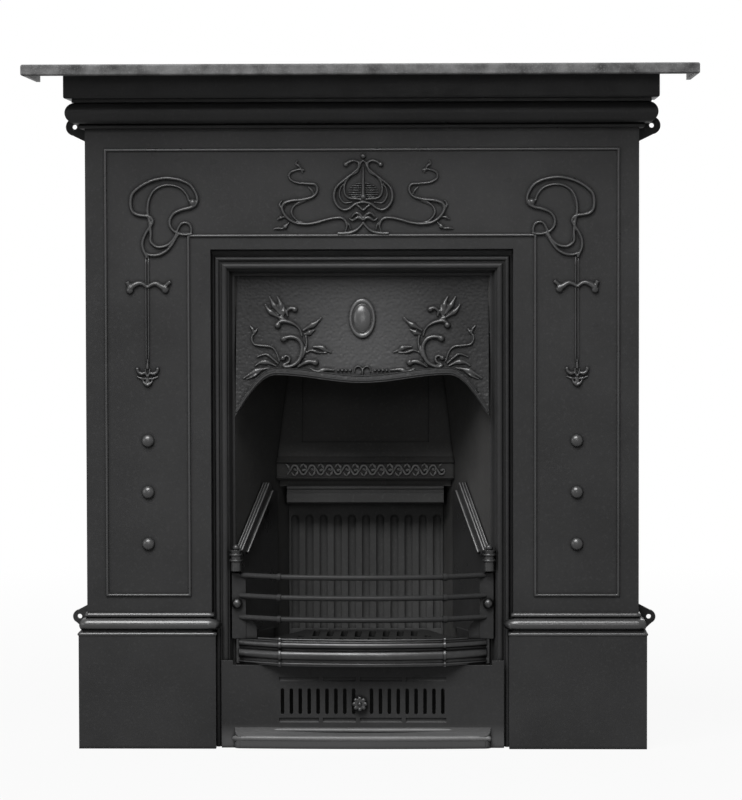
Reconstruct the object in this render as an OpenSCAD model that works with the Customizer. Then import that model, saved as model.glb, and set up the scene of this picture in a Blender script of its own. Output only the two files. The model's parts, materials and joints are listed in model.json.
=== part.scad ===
// Cast iron fireplace: surround, mantel shelf, fire insert and ash pit front, in millimetres.
// The origin is on the floor at the middle of the bounding box. Up is +Z and the front faces -Y.
// The wall plane is y = 0: the fire chamber lies behind it, in the builder's opening.

/* [Shelf] */
// Width of the mantel shelf
shelf_w = 965; // [955:5:975]
// Distance from the wall to the shelf's front edge
shelf_d = 170; // [165:5:175]
// Height of the shelf's top above the floor
shelf_top_z = 990; // [990:1:992]
// Depth of the turned-down shelf edge
shelf_edge_h = 16; // [15:1:16]

/* [Surround] */
// Width of the surround across its side faces
body_w = 804; // [800:2:808]
// Distance from the wall to the panel's face
body_d = 70; // [68:1:72]
// Thickness of the surround's castings
wall = 7; // [6:0.5:7]
// Width of the opening for the insert
opening_w = 440; // [438:1:442]
// Height of the opening for the insert
opening_h = 727; // [725:1:728]

/* [Plinths] */
// Width of one plinth
plinth_w = 200; // [196:1:201]
// Distance from the centre line to a plinth's outer side
plinth_out = 413.5; // [411:0.5:415]
// Distance from the wall to a plinth's face
plinth_d = 84; // [82:1:86]
// Height of a plinth's plain block
plinth_h = 170; // [168:1:171]

/* [Insert] */
// Width between the inner edges of the reeded frame
insert_w = 372; // [371:1:373]
// Height of the reeded frame's inner edge
insert_h = 688; // [686:1:690]
// Thickness of the cheeks of the fire chamber
coving_t = 6; // [5:0.5:7]
// Splay of the cheeks of the fire chamber, in degrees
splay = 20.45; // [20:0.05:21]
// Height of the smoke plate's underside
smoke_z = 600; // [598:1:602]
// Number of flutes in the fireback
flute_count = 11; // [9:2:11]

/* [Grate] */
// Diameter of a front bar
bar_dia = 8; // [7:0.5:9]
// Heights of the three front bars
bar_z = [189.5, 221, 251];
// Height of the bottom grate's top
grate_z = 150; // [148:1:151]
// Gap between the bottom grate's fingers
grate_gap = 10; // [8:0.5:11]

/* [Ash pit] */
// Width of the ash pit cover
cover_w = 412; // [408:1:414]
// Height of the ash pit cover between its ears
cover_h = 121; // [119:1:122]
// Spacing of the air slots
slot_pitch = 13; // [12.8:0.1:13.2]
// Width of an air slot
slot_w = 5.4; // [5:0.1:5.6]
// Number of air slots on each side of the knob
slot_count = 9; // [7:1:9]

/* [Hidden] */
$fn = 64;
eps = 0.01;
fit = 0.3;            // gap between castings that do not touch
running = 0.05;       // radial clearance of a pin in its hole

// Surround
body_x = body_w / 2;
opening_x = opening_w / 2;
plinth_in = plinth_out - plinth_w;
roll_r = 9.2;                        // the large roll on top of a plinth
roll_z = plinth_h + 1.2 + roll_r;
plinth_top = 199;
cornice_z = 902;                     // where the cornice starts
torus_r = 15.3;
torus_z = cornice_z + 7 + torus_r;
fascia_z = 944.8;
fascia_out = 28;                     // how far the fascia stands in front of the panel
cornice_top = shelf_top_z - 6;         // the shelf plate rests on it
bead_w = 3.6;                        // the bead around the panel
bead_h = 2;
panel_out = 374;                     // the bead's outer outline
panel_top = 873;
panel_bottom = 221.5;
panel_in = 250;                      // the bead's inner outline
panel_in_top = 745;
stud_x = 312;
stud_z = [298, 373.5, 448.5];
stud_r = 9.5;
line_z = [562, 717];                 // the hanging double line above the studs
relief_h = 1.6;                      // how far the cast relief stands out
motif_x = 2.5;                       // the middle motif sits a little off the centre line
lug_hole_r = 3.5;
lug_t = 7;
top_hole = [423.5, 907.5];
foot_hole = [420, 185.7];

// Shelf
shelf_x = shelf_w / 2;
shelf_t = shelf_top_z - cornice_top;
lip_z = shelf_top_z - shelf_edge_h;
lip_t = 8;
shelf_bolt_x = [-380, -150, 150, 380];
shelf_bolt_y = -45;

// Insert frame: depths are distances in front of the wall
insert_x = insert_w / 2;
frame_lip = [44, 47.5];
frame_flange = [57, body_d - wall];
frame_w = 46;
clip_z = [260, 520];

// Fire chamber
coving_y0 = -44;
coving_y1 = 168;
coving_slope = tan(splay);
smoke_t = 6;
throat_x = 90;
throat_y = [0, 110];
back_y = 140;
back_h = 330;
ledge_top = 371;
ledge_x = 118;
flute_r = 6.5;
flute_z = [152, 319.3];
frieze_y = 96;
frieze_z = [381, 411];
slope_y = 157;

// Hood
hood_x = insert_x - 1.7;
hood_top = 712;
hood_y = -40;                        // depth of its face at the top, where it is upright
hood_t = 6;
hood_bend = 940;                     // radius of the face, which flares to the front below
hood_shoulder_x = 126;
hood_shoulder_z = 544;
hood_dip_z = 532.5;
hood_side_z = 484.5;
hood_rim = 9;

// Damper
pin_r = 3;
pin_y = 124;
pin_z = smoke_z + smoke_t + 7.2;
flap_x = 97;
flap_t = 4;

// Grate, in plan: two straight wings and a bowed middle
bow_x = 120;                         // the corners of the bars
bow_y = -86;
bow_rise = 14;
bow_r = (bow_x * bow_x + bow_rise * bow_rise) / (2 * bow_rise);
bow_angle = asin(bow_x / bow_r);
wing_x = 181;
wing_y = -54;
bar_r = bar_dia / 2;
plate_x = [171, 191];                // the end plates of the front bars
plate_y = [-58, -50.4];
plate_z = [158.5, 254];
nosing_z = [122, 158];
stud_place = [183.5, 210];            // the studs on the end plates

// Ash pit
cover_x = cover_w / 2;
cover_y = [-72, -66];
ear_x = 189;
ear_h = 6.6;
slot_z = [49, 87];
knob_x = -4;
knob_z = 65;
slide_travel = slot_pitch / 2;
slide_x = 128;
slide_y = [cover_y[1] + fit, cover_y[1] + fit + 3];
slide_z = [40, 96];
stem_r = 3;

// Inner face of a cheek of the fire chamber at depth y
function coving_x(y) = insert_x - (y - coving_y0) * coving_slope;

// Height of the hood's lower edge at distance x from the centre line
function hood_edge(x) = let (a = abs(x))
    a < hood_shoulder_x
    ? hood_dip_z + (hood_shoulder_z - hood_dip_z) * (1 - cos(180 * a / hood_shoulder_x)) / 2
    : hood_side_z + (hood_shoulder_z - hood_side_z)
        * cos(90 * (a - hood_shoulder_x) / (hood_x - hood_shoulder_x));

// Placing helpers ---------------------------------------------------------------------------

// Draws its child on both sides of the centre line
module both_sides() {
    children();
    mirror([1, 0, 0]) children();
}

// Extrudes an outline drawn in (depth in front of the wall, height) along X
module along_x(x0, x1) {
    translate([x0, 0, 0]) mirror([0, 1, 0]) rotate([90, 0, 90]) linear_extrude(x1 - x0) children();
}

// Extrudes an outline drawn in (x, height) from depth y1 forward to y0
module along_y(y0, y1) {
    translate([0, y1, 0]) rotate([90, 0, 0]) linear_extrude(y1 - y0) children();
}

module block(x, y, z) {
    translate([x[0], y[0], z[0]]) cube([x[1] - x[0], y[1] - y[0], z[1] - z[0]]);
}

// A round bar or hole along Y
module rod_y(x, y0, y1, z, r) {
    translate([x, y0, z]) rotate([-90, 0, 0]) cylinder(r = r, h = y1 - y0);
}

module rod_x(x0, x1, y, z, r) {
    translate([x0, y, z]) rotate([0, 90, 0]) cylinder(r = r, h = x1 - x0);
}

module rod_z(x, y, z0, z1, r) {
    translate([x, y, z0]) cylinder(r = r, h = z1 - z0);
}

// A hexagon head across flats 10
module hex_head(h = 4) {
    cylinder(r = 5.8, h = h, $fn = 6);
}

// Cast relief -------------------------------------------------------------------------------

// Points of a smooth line through p, four steps from one point to the next
function smooth(p) = concat([for (i = [0 : len(p) - 2]) for (t = [0 : 0.25 : 0.75])
    let (a = p[max(i - 1, 0)], b = p[i], c = p[i + 1], d = p[min(i + 2, len(p) - 1)])
        (2 * b + (c - a) * t + (2 * a - 5 * b + 4 * c - d) * t * t
            + (3 * b - a - 3 * c + d) * t * t * t) / 2], [p[len(p) - 1]]);

// The line p moved sideways
function beside(p, w) = [for (i = [0 : len(p) - 1])
    let (s = p[min(i + 1, len(p) - 1)] - p[max(i - 1, 0)]) p[i] + w * [-s[1], s[0]] / norm(s)];

// A band of width w along a smooth line
module stroke(w, p) {
    line = smooth(p);
    far = beside(line, -w / 2);
    polygon(concat(beside(line, w / 2), [for (i = [len(far) - 1 : -1 : 0]) far[i]]));
}

// The whiplash loops in an upper corner of the panel and the stem that they hang from
module corner_loops() {
    stroke(2.2, [[242, 790], [238.5, 798], [248.5, 820.5], [287.5, 830.5], [320.5, 819],
        [334.5, 803], [332.5, 782], [307, 773.5], [306.5, 761], [318.5, 736.5], [312, 717]]);
    stroke(1.8, [[250.5, 796.5], [260.5, 814.5], [280, 820.5], [301, 813], [311, 782],
        [306.5, 749.5], [300, 732], [283.5, 732.5], [270, 747.5], [262.5, 764], [250.5, 764],
        [247.5, 752]]);
    stroke(1.8, [[318.5, 732], [316.5, 724], [300, 718.5], [282, 727], [264, 750.5]]);
    stroke(2, [[241.5, 791.5], [271, 780.5], [279, 767], [271.5, 752.5], [246, 750.5]]);
}

// The tied bow halfway down the hanging line, and the bud at its end
module bow_and_bud() {
    stroke(3, [[338.5, 669.5], [324.5, 678], [318, 677], [312, 672]]);
    stroke(3, [[312, 672], [305.5, 676], [298.5, 677.5], [283.5, 670]]);
    for (side = [-1, 1]) translate([stud_x, 0]) scale([side, 1]) {
        stroke(3, [[0, 541.5], [3.5, 547], [9, 546.5], [15, 553]]);
        stroke(2.4, [[0, 539], [8.5, 539.5], [15.5, 542.5]]);
    }
    stroke(4, [[stud_x, 567], [stud_x, 545], [stud_x, 527]]);
}

// One side of the flower and scrolls in the middle of the panel's top
module middle_motif() {
    stroke(2, [[7, 853.5], [7, 845], [13.5, 838.5], [41, 813], [36.5, 789.5], [28, 784],
        [11, 792.5], [-1, 795.5]]);
    stroke(1.6, [[9, 838.5], [25, 825.5], [26.5, 806.5], [20.5, 801], [-1, 798.5]]);
    stroke(2, [[-1, 771], [5, 777.5], [11, 779], [16.5, 774]]);
    stroke(2, [[-1, 766], [10.5, 754.5], [37, 750]]);
    stroke(2, [[26, 768.5], [41, 772.5], [83.5, 763.5], [110.5, 773], [117.5, 784],
        [103.5, 797.5], [72.5, 803.5], [70, 820.5], [97, 823.5], [107, 829.5], [106, 838],
        [94.5, 842.5], [86, 841.5]]);
    stroke(1.6, [[85.5, 765.5], [96.5, 769], [104, 779.5], [101.5, 788.5], [83.5, 797]]);
}

// One of the two flower sprays on the hood
module spray() {
    stroke(2, [[100.5, 558], [92, 565.5], [87.5, 579], [89, 589], [94.5, 596.5], [104, 599],
        [115, 597.5]]);
    stroke(2, [[88, 600], [97.5, 616.5], [118, 622], [124, 617]]);
    stroke(2.6, [[142, 646.5], [135.5, 637], [120.5, 627]]);
    stroke(2.6, [[135.5, 658], [129.5, 646.5], [120.5, 632]]);
    stroke(2.6, [[124.5, 658.5], [119.5, 647.5], [118, 631]]);
    stroke(2.4, [[115, 646.5], [114.5, 638], [117.5, 626.5]]);
    stroke(2.4, [[59.5, 627.5], [67, 619.5], [87, 608]]);
    stroke(2.2, [[45, 576.5], [59.5, 583.5], [72, 584.5]]);
    stroke(2.2, [[94.5, 554.5], [77.5, 563], [69.5, 562]]);
    stroke(2.2, [[75.5, 553], [65, 548], [53.5, 551.5], [40.5, 550.5]]);
    stroke(2, [[120.5, 563], [132.5, 584.5], [157, 588], [160, 602.5]]);
    stroke(2.2, [[124.5, 556], [137, 562], [148.5, 561.5], [157, 556.5]]);
    stroke(2.2, [[134.5, 554], [157.5, 548], [174, 538.5]]);
}

module panel_relief() {
    along_y(-body_d - relief_h, -body_d + 1) {
        both_sides_2d() corner_loops();
        both_sides_2d() bow_and_bud();
        translate([motif_x, 0]) both_sides_2d() middle_motif();
    }
}

// Surround ----------------------------------------------------------------------------------

// Outline of the plinth and its mouldings; block and body are the distances of their faces
module plinth_profile(block, body) {
    square([block, plinth_h]);
    translate([block - 1.2, plinth_h - 2.6]) circle(r = 2.4);
    square([block - 5, plinth_h + 4]);
    square([block - roll_r - 2, roll_z + roll_r - 1]);
    translate([block - roll_r - 1.1, roll_z]) circle(r = roll_r);
    square([body, plinth_top]);
    translate([body - 0.4, plinth_top - 5.2]) circle(r = 3.8);
}

// Outline of the cornice above a body face at the given distance
module cornice_profile(body) {
    translate([0, cornice_z - 7]) square([body, cornice_top - cornice_z + 7]);
    translate([0, cornice_z]) square([body + 5, 7]);
    translate([body + 5, cornice_z + 3.5]) circle(r = 3.5);
    translate([0, cornice_z + 7]) square([body + 11, 2 * torus_r]);
    translate([body + 11, torus_z]) circle(r = torus_r);
    translate([0, torus_z + torus_r]) square([body + 17, fascia_z - torus_z - torus_r]);
    translate([0, fascia_z + 3]) square([body + fascia_out, cornice_top - fascia_z - 3]);
    translate([0, fascia_z]) square([body + fascia_out - 3, 3]);
    translate([body + fascia_out - 3, fascia_z + 3]) circle(r = 3);
}

module plinth_solid() {
    intersection() {
        along_x(plinth_in - 20, plinth_out + 20) plinth_profile(plinth_d, body_d);
        along_y(-plinth_d - 20, 0) plinth_profile(plinth_out, body_x);
        // the mouldings return at the inner end as well
        along_y(-plinth_d - 20, 0) translate([plinth_in + plinth_out, 0]) mirror([1, 0])
            plinth_profile(plinth_out, plinth_in + plinth_out - opening_x);
    }
}

module cornice_solid() {
    intersection() {
        along_x(-body_x - 60, body_x + 60) cornice_profile(body_d);
        along_y(-body_d - 60, 0) both_sides_2d() cornice_profile(body_x);
    }
}

module both_sides_2d() {
    children();
    mirror([1, 0]) children();
}

// The hollow back of the castings
module surround_hollow() {
    inside = frame_flange[1];
    both_sides() {
        block([plinth_in + wall, plinth_out - wall], [-plinth_d + wall, eps], [-1, plinth_h - wall]);
        block([plinth_in - 1, body_x - wall], [-inside, eps], [-1, cornice_z - 5]);
    }
    block([-body_x + wall, body_x - wall], [-inside, eps], [opening_h - 1, cornice_top - wall]);
    block([-body_x - 18, body_x + 18], [-body_d - 18, eps], [fascia_z + 6, cornice_top - wall]);
}

// The raised bead: an upside-down U around the panel, drawn inside the given inset
module bead_outline(inset) {
    a = panel_out - inset;
    b = panel_in + inset;
    top = panel_top - inset;
    inner_top = panel_in_top + inset;
    foot = panel_bottom + inset;
    polygon([[-a, foot], [-a, top], [a, top], [a, foot], [b, foot], [b, inner_top],
        [-b, inner_top], [-b, foot]]);
}

module panel_bead() {
    step = bead_w / 4;
    along_y(-body_d - bead_h / 2, -body_d + 1) difference() {
        bead_outline(0);
        bead_outline(bead_w);
    }
    along_y(-body_d - bead_h, -body_d + 1) difference() {
        bead_outline(step);
        bead_outline(bead_w - step);
    }
}

// Domed studs and the hanging double line of one side panel
module side_ornament() {
    for (z = stud_z) {
        intersection() {
            translate([stud_x, -body_d + 3, z]) sphere(r = stud_r);
            block([stud_x - 12, stud_x + 12], [-body_d - 12, -body_d + 1], [z - 12, z + 12]);
        }
    }
    for (dx = [-1.8, 1.8]) {
        block([stud_x + dx - 0.8, stud_x + dx + 0.8], [-body_d - 1.4, -body_d + 1], line_z);
    }
}

// Where a line from point p touches the circle about c; side is 1 or -1
function touch(p, c, r, side) = let (d = norm(c - p),
    a = atan2(c[1] - p[1], c[0] - p[0]) + side * asin(r / d))
    p + sqrt(d * d - r * r) * [cos(a), sin(a)];

// A fixing ear in the wall plane, round about its screw hole; low and high are its roots
module lug(hole, r, low, high) {
    along_y(-lug_t, 0) difference() {
        union() {
            translate(hole) circle(r = r);
            polygon([low, touch(low, hole, r - 0.4, -1), touch(high, hole, r - 0.4, 1), high,
                [body_x - wall, high[1]], [body_x - wall, low[1]]]);
        }
        translate(hole) circle(r = lug_hole_r);
    }
}

module surround() color("#2b2b2c") {
    difference() {
        union() {
            block([-body_x, body_x], [-body_d, 0], [plinth_top - 5, cornice_z]);
            both_sides() plinth_solid();
            cornice_solid();
        }
        surround_hollow();
        block([-opening_x, opening_x], [-body_d - 1, eps], [-1, opening_h]);
        for (x = shelf_bolt_x) {
            rod_z(x, shelf_bolt_y, cornice_top - wall - 1, cornice_top + 1, 3.4);
        }
    }
    panel_bead();
    panel_relief();
    both_sides() {
        side_ornament();
        lug(top_hole, 13, [body_x - 2, 882], [body_x - 2, 932]);
        lug(foot_hole, 10, [plinth_out - 2, 165], [body_x - 2, 207]);
    }
    // bosses that the insert's clips are screwed to
    both_sides() for (z = clip_z) rod_y(opening_x + 20, -frame_flange[1], -frame_flange[0], z, 7);
}

module shelf_outline_x() {
    r = 3;
    translate([-1, lip_z + r]) square([shelf_d + 1, shelf_edge_h - 2 * r]);
    translate([-1, lip_z]) square([shelf_d + 1 - r, shelf_edge_h]);
    for (z = [lip_z + r, shelf_top_z - r]) translate([shelf_d - r, z]) circle(r = r);
}

module shelf_outline_y() {
    r = 3;
    translate([0, lip_z + r]) square([shelf_x, shelf_edge_h - 2 * r]);
    translate([0, lip_z]) square([shelf_x - r, shelf_edge_h]);
    for (z = [lip_z + r, shelf_top_z - r]) translate([shelf_x - r, z]) circle(r = r);
}

module mantel_shelf() color("#3a3a3b") {
    difference() {
        intersection() {
            along_x(-shelf_x - 1, shelf_x + 1) shelf_outline_x();
            along_y(-shelf_d - 1, 0) both_sides_2d() shelf_outline_y();
        }
        block([-shelf_x + lip_t, shelf_x - lip_t], [-shelf_d + lip_t, 1], [lip_z - 1, cornice_top]);
        for (x = shelf_bolt_x) rod_z(x, shelf_bolt_y, lip_z, shelf_top_z - 2, 3 + running);
    }
}

module shelf_bolts() color("#6b6b6b") for (x = shelf_bolt_x) {
    rod_z(x, shelf_bolt_y, cornice_top - wall, shelf_top_z - 2.3, 3);
    translate([x, shelf_bolt_y, cornice_top - wall - 4]) hex_head();
}

// Insert frame ------------------------------------------------------------------------------

// Section of the frame: distance outward from the inner edge, and depth in front of the wall
module frame_section(channel_w) {
    lip = frame_lip;
    flange = frame_flange;
    floor = flange[1] - 8;
    polygon([[0, lip[0]], [0, lip[1] - 1], [1, lip[1]], [4, lip[1]], [8.5, flange[1] - 4],
        [28, flange[1] - 4], [29.5, floor], [channel_w - 2, floor],
        [channel_w, flange[1]], [frame_w, flange[1]], [frame_w, flange[0]],
        [channel_w + 5, flange[0]], [channel_w + 3, floor - 6], [21, floor - 6],
        [19, flange[0] - 4], [12, flange[0] - 4], [8, lip[0]]]);
    translate([14.5, flange[1] - 4]) circle(r = 4.6);
    translate([25, flange[1] - 4]) circle(r = 3.1);
}

module frame_leg() {
    intersection() {
        translate([insert_x, 0, 0]) mirror([0, 1, 0]) linear_extrude(insert_h + frame_w)
            frame_section(opening_x - insert_x);
        along_y(-100, 0) polygon([[insert_x - 1, 0], [insert_x + 60, 0],
            [insert_x + 60, insert_h + 60], [insert_x - 1, insert_h - 1]]);
    }
}

module frame_head() {
    intersection() {
        translate([-insert_x - 60, 0, insert_h]) mirror([0, 1, 0]) rotate([0, 0, 90])
            rotate([90, 0, 0]) linear_extrude(2 * insert_x + 120)
            rotate(90) mirror([0, 1]) frame_section(opening_h - insert_h);
        along_y(-100, 0) polygon([[-insert_x + 1, insert_h - 1], [insert_x - 1, insert_h - 1],
            [insert_x + 60, insert_h + 60], [-insert_x - 60, insert_h + 60]]);
    }
}

hood_boss_x = 120;
hood_boss_z = 703;

module insert_frame() color("#262627") difference() {
    union() {
        both_sides() frame_leg();
        frame_head();
        both_sides() rod_y(hood_boss_x, -frame_flange[0], -40.5, hood_boss_z, 7);
    }
    both_sides() rod_y(hood_boss_x, -52, -40, hood_boss_z, 3 + running);
}

module insert_clips() color("#6b6b6b") both_sides() for (z = clip_z) translate([0, 0, z]) {
    block([opening_x + 5.3, opening_x + 28], [-frame_flange[0], -frame_flange[0] + 4], [-9, 9]);
    translate([opening_x + 20, -frame_flange[0] + 4, 0]) rotate([-90, 0, 0]) hex_head();
}

// Hood --------------------------------------------------------------------------------------

hood_step = 60;

module hood_outline(top) {
    xs = [for (i = [0 : hood_step]) -hood_x + 2 * hood_x * i / hood_step];
    polygon(concat([for (x = xs) [x, hood_edge(x)]], [[hood_x, top], [-hood_x, top]]));
}

module hood_rim_outline() {
    xs = [for (i = [0 : hood_step]) -hood_x + 2 * hood_x * i / hood_step];
    polygon(concat([for (x = xs) [x, hood_edge(x)]],
        [for (i = [hood_step : -1 : 0]) [xs[i], hood_edge(xs[i]) + hood_rim]]));
}

// A curved sheet that follows the hood from the given distance in front of its face to the back
module hood_sheet(front, back) {
    along_x(-insert_x, insert_x) difference() {
        translate([hood_bend - hood_y, hood_top]) circle(r = hood_bend + back, $fn = 256);
        translate([hood_bend - hood_y, hood_top]) circle(r = hood_bend - front, $fn = 256);
    }
}

function oval(rx, rz) = [for (i = [0 : 47]) [rx * cos(7.5 * i), rz * sin(7.5 * i)]];

boss_z = 626;

// The oval boss and its ring, drawn on the plane that touches the hood's face there
module hood_boss() {
    lean = asin((hood_top - boss_z) / hood_bend);
    translate([0, hood_y - hood_bend * (1 - cos(lean)), boss_z]) rotate([-lean, 0, 0]) {
        along_y(-2, 1) polygon(oval(18, 28.5));
        along_y(-3.3, 1) difference() {
            polygon(oval(18, 28.5));
            polygon(oval(15, 25.5));
        }
        along_y(-4.8, 1) polygon(oval(11, 20.5));
    }
}

module hood() color("#2a2a2b") difference() {
    union() {
        intersection() {
            hood_sheet(0, hood_t);
            along_y(-100, 0) hood_outline(hood_top);
        }
        intersection() {
            hood_sheet(4, hood_t + 5);
            along_y(-100, 0) hood_rim_outline();
        }
        hood_boss();
        intersection() {
            hood_sheet(1.6, 1);
            along_y(-100, 0) both_sides_2d() spray();
        }
    }
    both_sides() rod_y(hood_boss_x, -60, 0, hood_boss_z, 3.4);
}

module hood_bolts() color("#6b6b6b") both_sides() {
    rod_y(hood_boss_x, -50, -34, hood_boss_z, 3);
    translate([hood_boss_x, -34, hood_boss_z]) rotate([-90, 0, 0]) hex_head();
}

// Fire chamber ------------------------------------------------------------------------------

coving_out = coving_t / cos(splay);
lug_bolt_z = 396;
lug_bolt_y = 110;
cheek_bolt_z = [200, 320];
cheek_bolt_u = 110;

module right_coving_plate() difference() {
    linear_extrude(smoke_z) polygon([
        [coving_x(coving_y0), coving_y0], [coving_x(coving_y1), coving_y1],
        [coving_x(coving_y1) + coving_out, coving_y1],
        [coving_x(coving_y0) + coving_out, coving_y0]]);
    rod_x(coving_x(lug_bolt_y) - 20, coving_x(lug_bolt_y) + 30, lug_bolt_y, lug_bolt_z, 3.4);
    cheek_place() for (z = cheek_bolt_z) rod_x(-5, 20, cheek_bolt_u, z, 3.4);
}

module right_coving() color("#1c1b1a") right_coving_plate();

module left_coving() color("#1c1b1a") mirror([1, 0, 0]) right_coving_plate();

// Space between the two cheeks, less a gap
module between_covings(gap) {
    linear_extrude(smoke_z - fit) polygon([
        [-coving_x(0) + gap, 0], [coving_x(0) - gap, 0],
        [coving_x(coving_y1) - gap, coving_y1], [-coving_x(coving_y1) + gap, coving_y1]]);
}

module flute(x) {
    rod_z(x, back_y - 2, flute_z[0], flute_z[1], flute_r);
    translate([x, back_y - 2, flute_z[1]]) sphere(r = flute_r);
}

module fireback() color("#242322") difference() {
    intersection() {
        union() {
            block([-130, 130], [back_y, back_y + 12], [0, back_h + 2]);
            along_x(-ledge_x, ledge_x) mirror([1, 0]) polygon([
                [100, ledge_top], [98, 369.5], [98, 367.5], [99.8, 366], [99.8, 361.5],
                [96, 360], [96, 347.5], [98, 345.5], [back_y, 341], [back_y, back_h],
                [back_y + 12, back_h], [back_y + 12, ledge_top]]);
            block([-90, 90], [128, back_y + 1], [130, grate_z - 8.3]);
        }
        between_covings(0.4);
    }
    pitch = 2 * 107.5 / (flute_count - 1);
    for (i = [0 : flute_count - 1]) flute(-107.5 + pitch * i);
}

module upper_back() color("#201f1e") difference() {
    union() {
        intersection() {
            along_x(-140, 140) mirror([1, 0]) polygon([
                [frieze_y, frieze_z[0]], [frieze_y - 3, frieze_z[0] + 3],
                [frieze_y, frieze_z[0] + 6], [frieze_y, frieze_z[1] - 6],
                [frieze_y - 3, frieze_z[1] - 3], [frieze_y, frieze_z[1]], [100, 416],
                [slope_y, smoke_z - fit], [slope_y + 6.5, smoke_z - fit], [112, 416],
                [112, ledge_top], [106, ledge_top], [106, frieze_z[0]]]);
            between_covings(0.4);
        }
        both_sides() block([112, coving_x(lug_bolt_y + 8) - 0.8],
            [103, lug_bolt_y + 8], [386, 407]);
    }
    // the sunk panel of the sloping plate
    translate([0, 100, 416]) rotate([-atan((slope_y - 100) / (smoke_z - 416)), 0, 0])
        block([-96, 96], [-2, 1.6], [22, 165]);
    both_sides() rod_x(108, 160, lug_bolt_y, lug_bolt_z, 3 + running);
}

module back_bolts() color("#6b6b6b") both_sides() {
    face = coving_x(lug_bolt_y) + coving_out + 2.4;
    rod_x(114, face, lug_bolt_y, lug_bolt_z, 3);
    translate([face, lug_bolt_y, lug_bolt_z]) rotate([0, 90, 0]) hex_head();
}

module smoke_plate() color("#201f1e") difference() {
    union() {
        translate([0, 0, smoke_z]) linear_extrude(smoke_t) difference() {
            union() {
                polygon([[-190, -33], [190, -33], [coving_x(170) + 12, 170],
                    [-coving_x(170) - 12, 170]]);
                polygon([[-183, -39.6], [183, -39.6], [183, -32], [-183, -32]]);
            }
            polygon([[-throat_x, throat_y[0]], [throat_x, throat_y[0]],
                [throat_x, throat_y[1]], [-throat_x, throat_y[1]]]);
        }
        // upright ears that close the gap behind the hood's edges
        both_sides() block([170, 190], [-33, -29.5], [smoke_z, 704]);
        both_sides() hull() {
            rod_x(flap_x + 1, flap_x + 8, pin_y, pin_z, 7);
            block([flap_x + 1, flap_x + 8], [pin_y - 7, pin_y + 7],
                [smoke_z + smoke_t - 1, smoke_z + smoke_t]);
        }
    }
    rod_x(-flap_x - 20, flap_x + 20, pin_y, pin_z, pin_r + running);
}

// Damper ------------------------------------------------------------------------------------

module damper_hinge_pin() color("#6b6b6b") {
    rod_x(-flap_x - 12, flap_x + 9, pin_y, pin_z, pin_r);
    rod_x(flap_x + 8.5, flap_x + 12, pin_y, pin_z, pin_r + 2);
}

flap_z = smoke_z + smoke_t + 0.2;

module damper_flap() color("#2b2a29") difference() {
    union() {
        block([-flap_x, flap_x], [-7, pin_y - 8], [flap_z, flap_z + flap_t]);
        // stiffening ribs
        for (x = [-50, 50]) block([x - 2.5, x + 2.5], [0, 104], [flap_z + 3, flap_z + 9]);
        both_sides() {
            rod_x(55, 90, pin_y, pin_z, 6);
            block([55, 90], [pin_y - 9, pin_y], [flap_z, pin_z]);
        }
    }
    rod_x(-100, 100, pin_y, pin_z, pin_r + running);
    for (x = [-14, 14]) rod_z(x, 14, smoke_z, smoke_z + 40, 3 + running);
}

// A bent rod through the flap, hanging in the throat
module damper_pull() color("#6b6b6b") {
    for (x = [-14, 14]) {
        rod_z(x, 14, 572, flap_z + flap_t + 1, 3);
        rod_z(x, 14, flap_z + flap_t, flap_z + flap_t + 3, 5);
    }
    for (s = [0, 1]) mirror([s, 0, 0]) translate([8, 14, 572]) rotate([90, 0, 0])
        rotate([0, 0, -90]) rotate_extrude(angle = 90) translate([6, 0]) circle(r = 3);
    rod_x(-8, 8, 14, 566, 3);
}

// Grate -------------------------------------------------------------------------------------

// Frame of a right grate cheek: Y runs back along the coving and -X points into the fire
module cheek_place() {
    translate([insert_x - fit, coving_y0, 0]) rotate([0, 0, splay]) children();
}

arm_start = [2, 290];
arm_end = [99, 379];
arm_angle = atan2(arm_end[1] - arm_start[1], arm_end[0] - arm_start[0]);
arm_length = norm(arm_end - arm_start);

module reeded_arm() {
    translate([0, arm_start[0], arm_start[1]]) rotate([arm_angle, 0, 0]) {
        block([-11.6, -0.4], [-6, arm_length], [-10, 0]);
        for (i = [0 : 2]) rod_y(-2.4 - 3.6 * i, -6, arm_length, 0, 1.9);
        block([-13.2, -0.4], [2, arm_length - 4], [-14.5, -9]);
        rod_y(-13.2, 2, arm_length - 4, -12, 1.6);
    }
}

module cheek_capital() {
    x = 184.5;
    y = -62;
    translate([x, y, 0]) {
        translate([0, 0, 258]) cylinder(r = 8, h = 14);
        for (z = [271.3, 279.8]) translate([0, 0, z]) rotate_extrude() {
            square([8, 4]);
            translate([8, 2]) circle(r = 2);
        }
        translate([0, 0, 275]) cylinder(r = 8, h = 5);
        translate([0, 0, 283.5]) cylinder(r1 = 8, r2 = 9.5, h = 5);
        translate([0, 0, 291.5]) sphere(r = 5.5);
    }
    block([x - 8, insert_x - 0.4], [y, -44.4], [258, 283.7]);
}

module cheek_web() {
    translate([-0.4 - coving_t, 0, 0]) rotate([90, 0, 90]) linear_extrude(coving_t)
        polygon([[4, 160], [138, 160], [138, 366], [arm_end[0], arm_end[1] - 10],
            [4, arm_start[1] - 8]]);
    block([-16, -0.4], [24, 120], [130, grate_z - 8.3]);
    block([-7, -0.4], [24, 120], [130, 162]);
}

module right_cheek_solid() difference() {
    union() {
        cheek_place() {
            cheek_web();
            reeded_arm();
        }
        cheek_capital();
    }
    cheek_place() for (z = cheek_bolt_z) rod_x(-5, 10, cheek_bolt_u, z, 3 + running);
}

module right_grate_cheek() color("#262524") right_cheek_solid();

module left_grate_cheek() color("#262524") mirror([1, 0, 0]) right_cheek_solid();

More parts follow.
